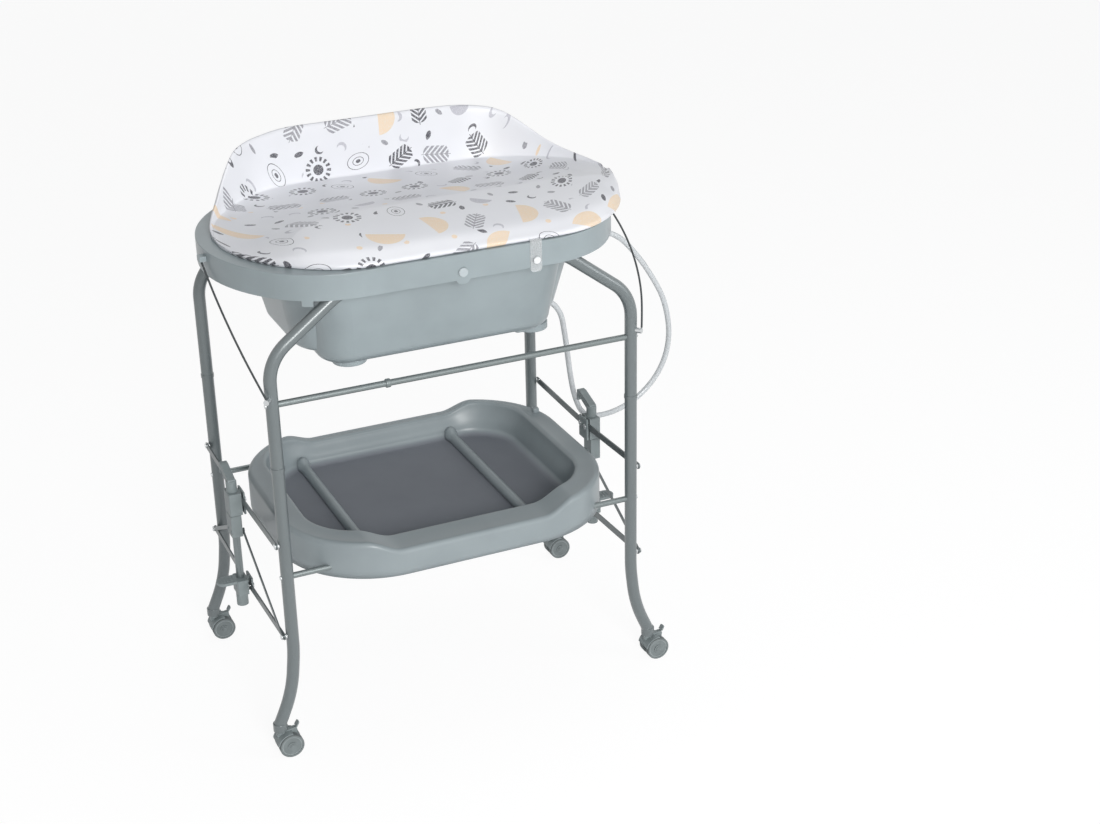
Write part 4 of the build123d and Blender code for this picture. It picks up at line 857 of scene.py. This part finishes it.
def wheel_plastic(name, axle_x, axle_z):
    """Grey plastic with a pale line and a dark tread, by distance from the wheel's axle."""
    paint = Paint(name)
    x, _, z = paint.split(paint.node("TexCoord", output="Object"))
    radius = paint.math("SQRT", (x - axle_x) * (x - axle_x) + (z - axle_z) * (z - axle_z))
    cloud, fine = paint.noise(60.0, 2.0), paint.noise(1800.0, 1.0)
    face = paint.drift(cloud, rgb(0.170, 0.196, 0.200), rgb(0.200, 0.230, 0.235))
    line = 1.0 - paint.smooth(abs(radius - LINE_RADIUS), LINE_WIDTH * 0.5, LINE_WIDTH * 1.5)
    tread = paint.smooth(radius, TREAD_RADIUS, TREAD_RADIUS + TREAD_BLEND)
    colour = paint.mix(line, face, rgb(0.36, 0.40, 0.405))
    return paint.look(Base_Color=paint.mix(tread, colour, rgb(0.125, 0.142, 0.145)),
                      Roughness=0.42 + 0.25 * tread + 0.06 * (cloud - 0.5),
                      Normal=paint.bump(fine, 0.00006, 0.5))


def dome_rings(middle, direction):
    """A low dome along Y: its foot below the face, then circles whose radius falls as the cosine
    of an angle while their height rises as its sine."""
    turn = np.linspace(0, 2 * math.pi, DOME_COUNT, endpoint=False)
    rows = [(AXLE_RADIUS, -AXLE_PROUD)]
    rows += [(AXLE_RADIUS * math.cos(a), AXLE_PROUD * math.sin(a))
             for a in np.linspace(0, DOME_SHARE * math.pi, 5)]
    return np.array([np.c_[middle[0] + r * np.cos(turn),
                           np.full(DOME_COUNT, middle[1] + direction * rise),
                           middle[2] + r * np.sin(turn)] for r, rise in rows])


for corner in ("left_front", "left_rear", "right_front", "right_rear"):
    wheels = nodes[f"caster_{corner}_wheels"]
    low, high = (np.array(c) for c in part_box(wheels.name))
    middle = (low + high) / 2
    wheels.data.materials.clear()
    wheels.data.materials.append(
        wheel_plastic(f"wheel_{corner}", float(middle[0]), float(middle[2])))
    caps = join_skins(f"axle_ends_{corner}", [
        dome_rings((middle[0], y - side * AXLE_SUNK, middle[2]), side)
        for y, side in ((low[1], -1), (high[1], 1))])
    caps.data.materials.append(looks["steel"])
    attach(caps, f"caster_{corner}_wheel_pair")
    print(corner, "wheels", [round(float(v), 4) for v in high - low])

# %% [markdown]
# ## The studio
# A pale floor curves up into the backdrop. Camera, mirror and see-through rays see a plain white
# world, while the other rays take a softer light from it. The main light is large and low in
# front, as in a product photo, so upright faces are the bright ones. A second light from the
# right shapes the tubes, and a soft one above lifts the pad's middle.

# %% Floor and light
SEEN_WHITE, WORLD_LIGHT, PAPER_GLOW = 1.04, 0.26, 0.88
FLOOR_FRONT, FLOOR_BACK, BEND_RADIUS, SHEET_TOP, SHEET_HALF = -9.0, 7.0, 2.0, 11.0, 14.0
LAMPS = {  # place, target, width, height, watts, colour
    "front": ((-0.6, -4.3, 2.3), (0, 0, 0.6), 1.4, 1.4, 150, (1.0, 0.99, 0.98)),
    "front_right": ((3.2, -2.6, 1.7), (0, 0, 0.6), 1.4, 2.0, 36, (0.98, 0.99, 1.0)),
    "above": ((0.4, 0.6, 4.2), (0, 0, 0.5), 2.0, 2.0, 26, (1.0, 1.0, 1.0)),
}


def eye_rays(tree):
    """1 for camera, mirror and see-through rays and 0 for the rest."""
    path = tree.nodes.new("ShaderNodeLightPath")
    total = path.outputs["Is Camera Ray"]
    for other in ("Is Glossy Ray", "Is Transmission Ray"):
        more = tree.nodes.new("ShaderNodeMath")
        more.operation, more.use_clamp = "ADD", True
        tree.links.new(total, more.inputs[0])
        tree.links.new(path.outputs[other], more.inputs[1])
        total = more.outputs[0]
    return total


def glowing(tree, kind, colour, strength=1.0):
    """The output of a Background or an Emission shader."""
    made = tree.nodes.new("ShaderNode" + kind)
    made.inputs[0].default_value, made.inputs[1].default_value = colour, strength
    return made.outputs[0]


def show(tree, share, plain, seen, output):
    """Mixes what the eye sees over the plain shader, by a share, into the tree's output node."""
    mixed = tree.nodes.new("ShaderNodeMixShader")
    for start, end in ((share, mixed.inputs[0]), (plain, mixed.inputs[1]), (seen, mixed.inputs[2]),
                       (mixed.outputs[0], output.inputs[0])):
        tree.links.new(start, end)


def paint_world():
    """A pale world that the camera sees brighter than the light it gives."""
    world = bpy.data.worlds.new("studio")
    scene.world = world
    world.use_nodes = True
    tree = world.node_tree
    tree.nodes.clear()
    show(tree, eye_rays(tree), glowing(tree, "Background", rgb(0.90, 0.93, 0.95), WORLD_LIGHT),
         glowing(tree, "Background", rgb(SEEN_WHITE, SEEN_WHITE, SEEN_WHITE)),
         tree.nodes.new("ShaderNodeOutputWorld"))


def backdrop():
    """A floor that bends up into a wall far behind the part, as one smooth sheet."""
    line = [(FLOOR_FRONT, 0.0), (FLOOR_BACK, 0.0)]
    line += [(FLOOR_BACK + BEND_RADIUS * math.sin(a), BEND_RADIUS * (1 - math.cos(a)))
             for a in np.linspace(0, math.pi / 2, 24)]
    line.append((FLOOR_BACK + BEND_RADIUS, SHEET_TOP))
    points = [(x, y, z) for x in (-SHEET_HALF, SHEET_HALF) for y, z in line]
    n = len(line)
    return mesh_object("studio_floor", points, [(i, n + i, n + i + 1, i + 1) for i in range(n - 1)])


def paper(share):
    """White paper whose own light, for the eye alone, makes up the given share of what is seen."""
    paint = Paint("studio_paper")
    cloud = paint.noise(0.4, 1.0)
    paint.look(Base_Color=paint.mix(cloud, rgb(0.90, 0.90, 0.905), rgb(0.92, 0.92, 0.925)),
               Roughness=0.9, Specular_IOR_Level=0.0)
    seen = Value(paint, eye_rays(paint.tree)) * share
    output = next(n for n in paint.tree.nodes if n.type == "OUTPUT_MATERIAL")
    show(paint.tree, seen.socket, paint.shader.outputs[0],
         glowing(paint.tree, "Emission", rgb(SEEN_WHITE, SEEN_WHITE, SEEN_WHITE)), output)
    return paint.material


def area_light(name, place, target, width, height, power, colour):
    """A rectangular lamp at a place, turned toward its target."""
    data = bpy.data.lights.new(name, "AREA")
    data.shape, data.size, data.size_y = "RECTANGLE", width, height
    data.energy, data.color = power, colour
    lamp = bpy.data.objects.new(name, data)
    lamp.location = place
    lamp.rotation_mode = "QUATERNION"
    lamp.rotation_quaternion = (Vector(target) - Vector(place)).to_track_quat("-Z", "Y")
    scene.collection.objects.link(lamp)
    return lamp


paint_world()
floor = backdrop()
floor.data.materials.append(paper(PAPER_GLOW))
lamps = [area_light(name, *row) for name, row in LAMPS.items()]
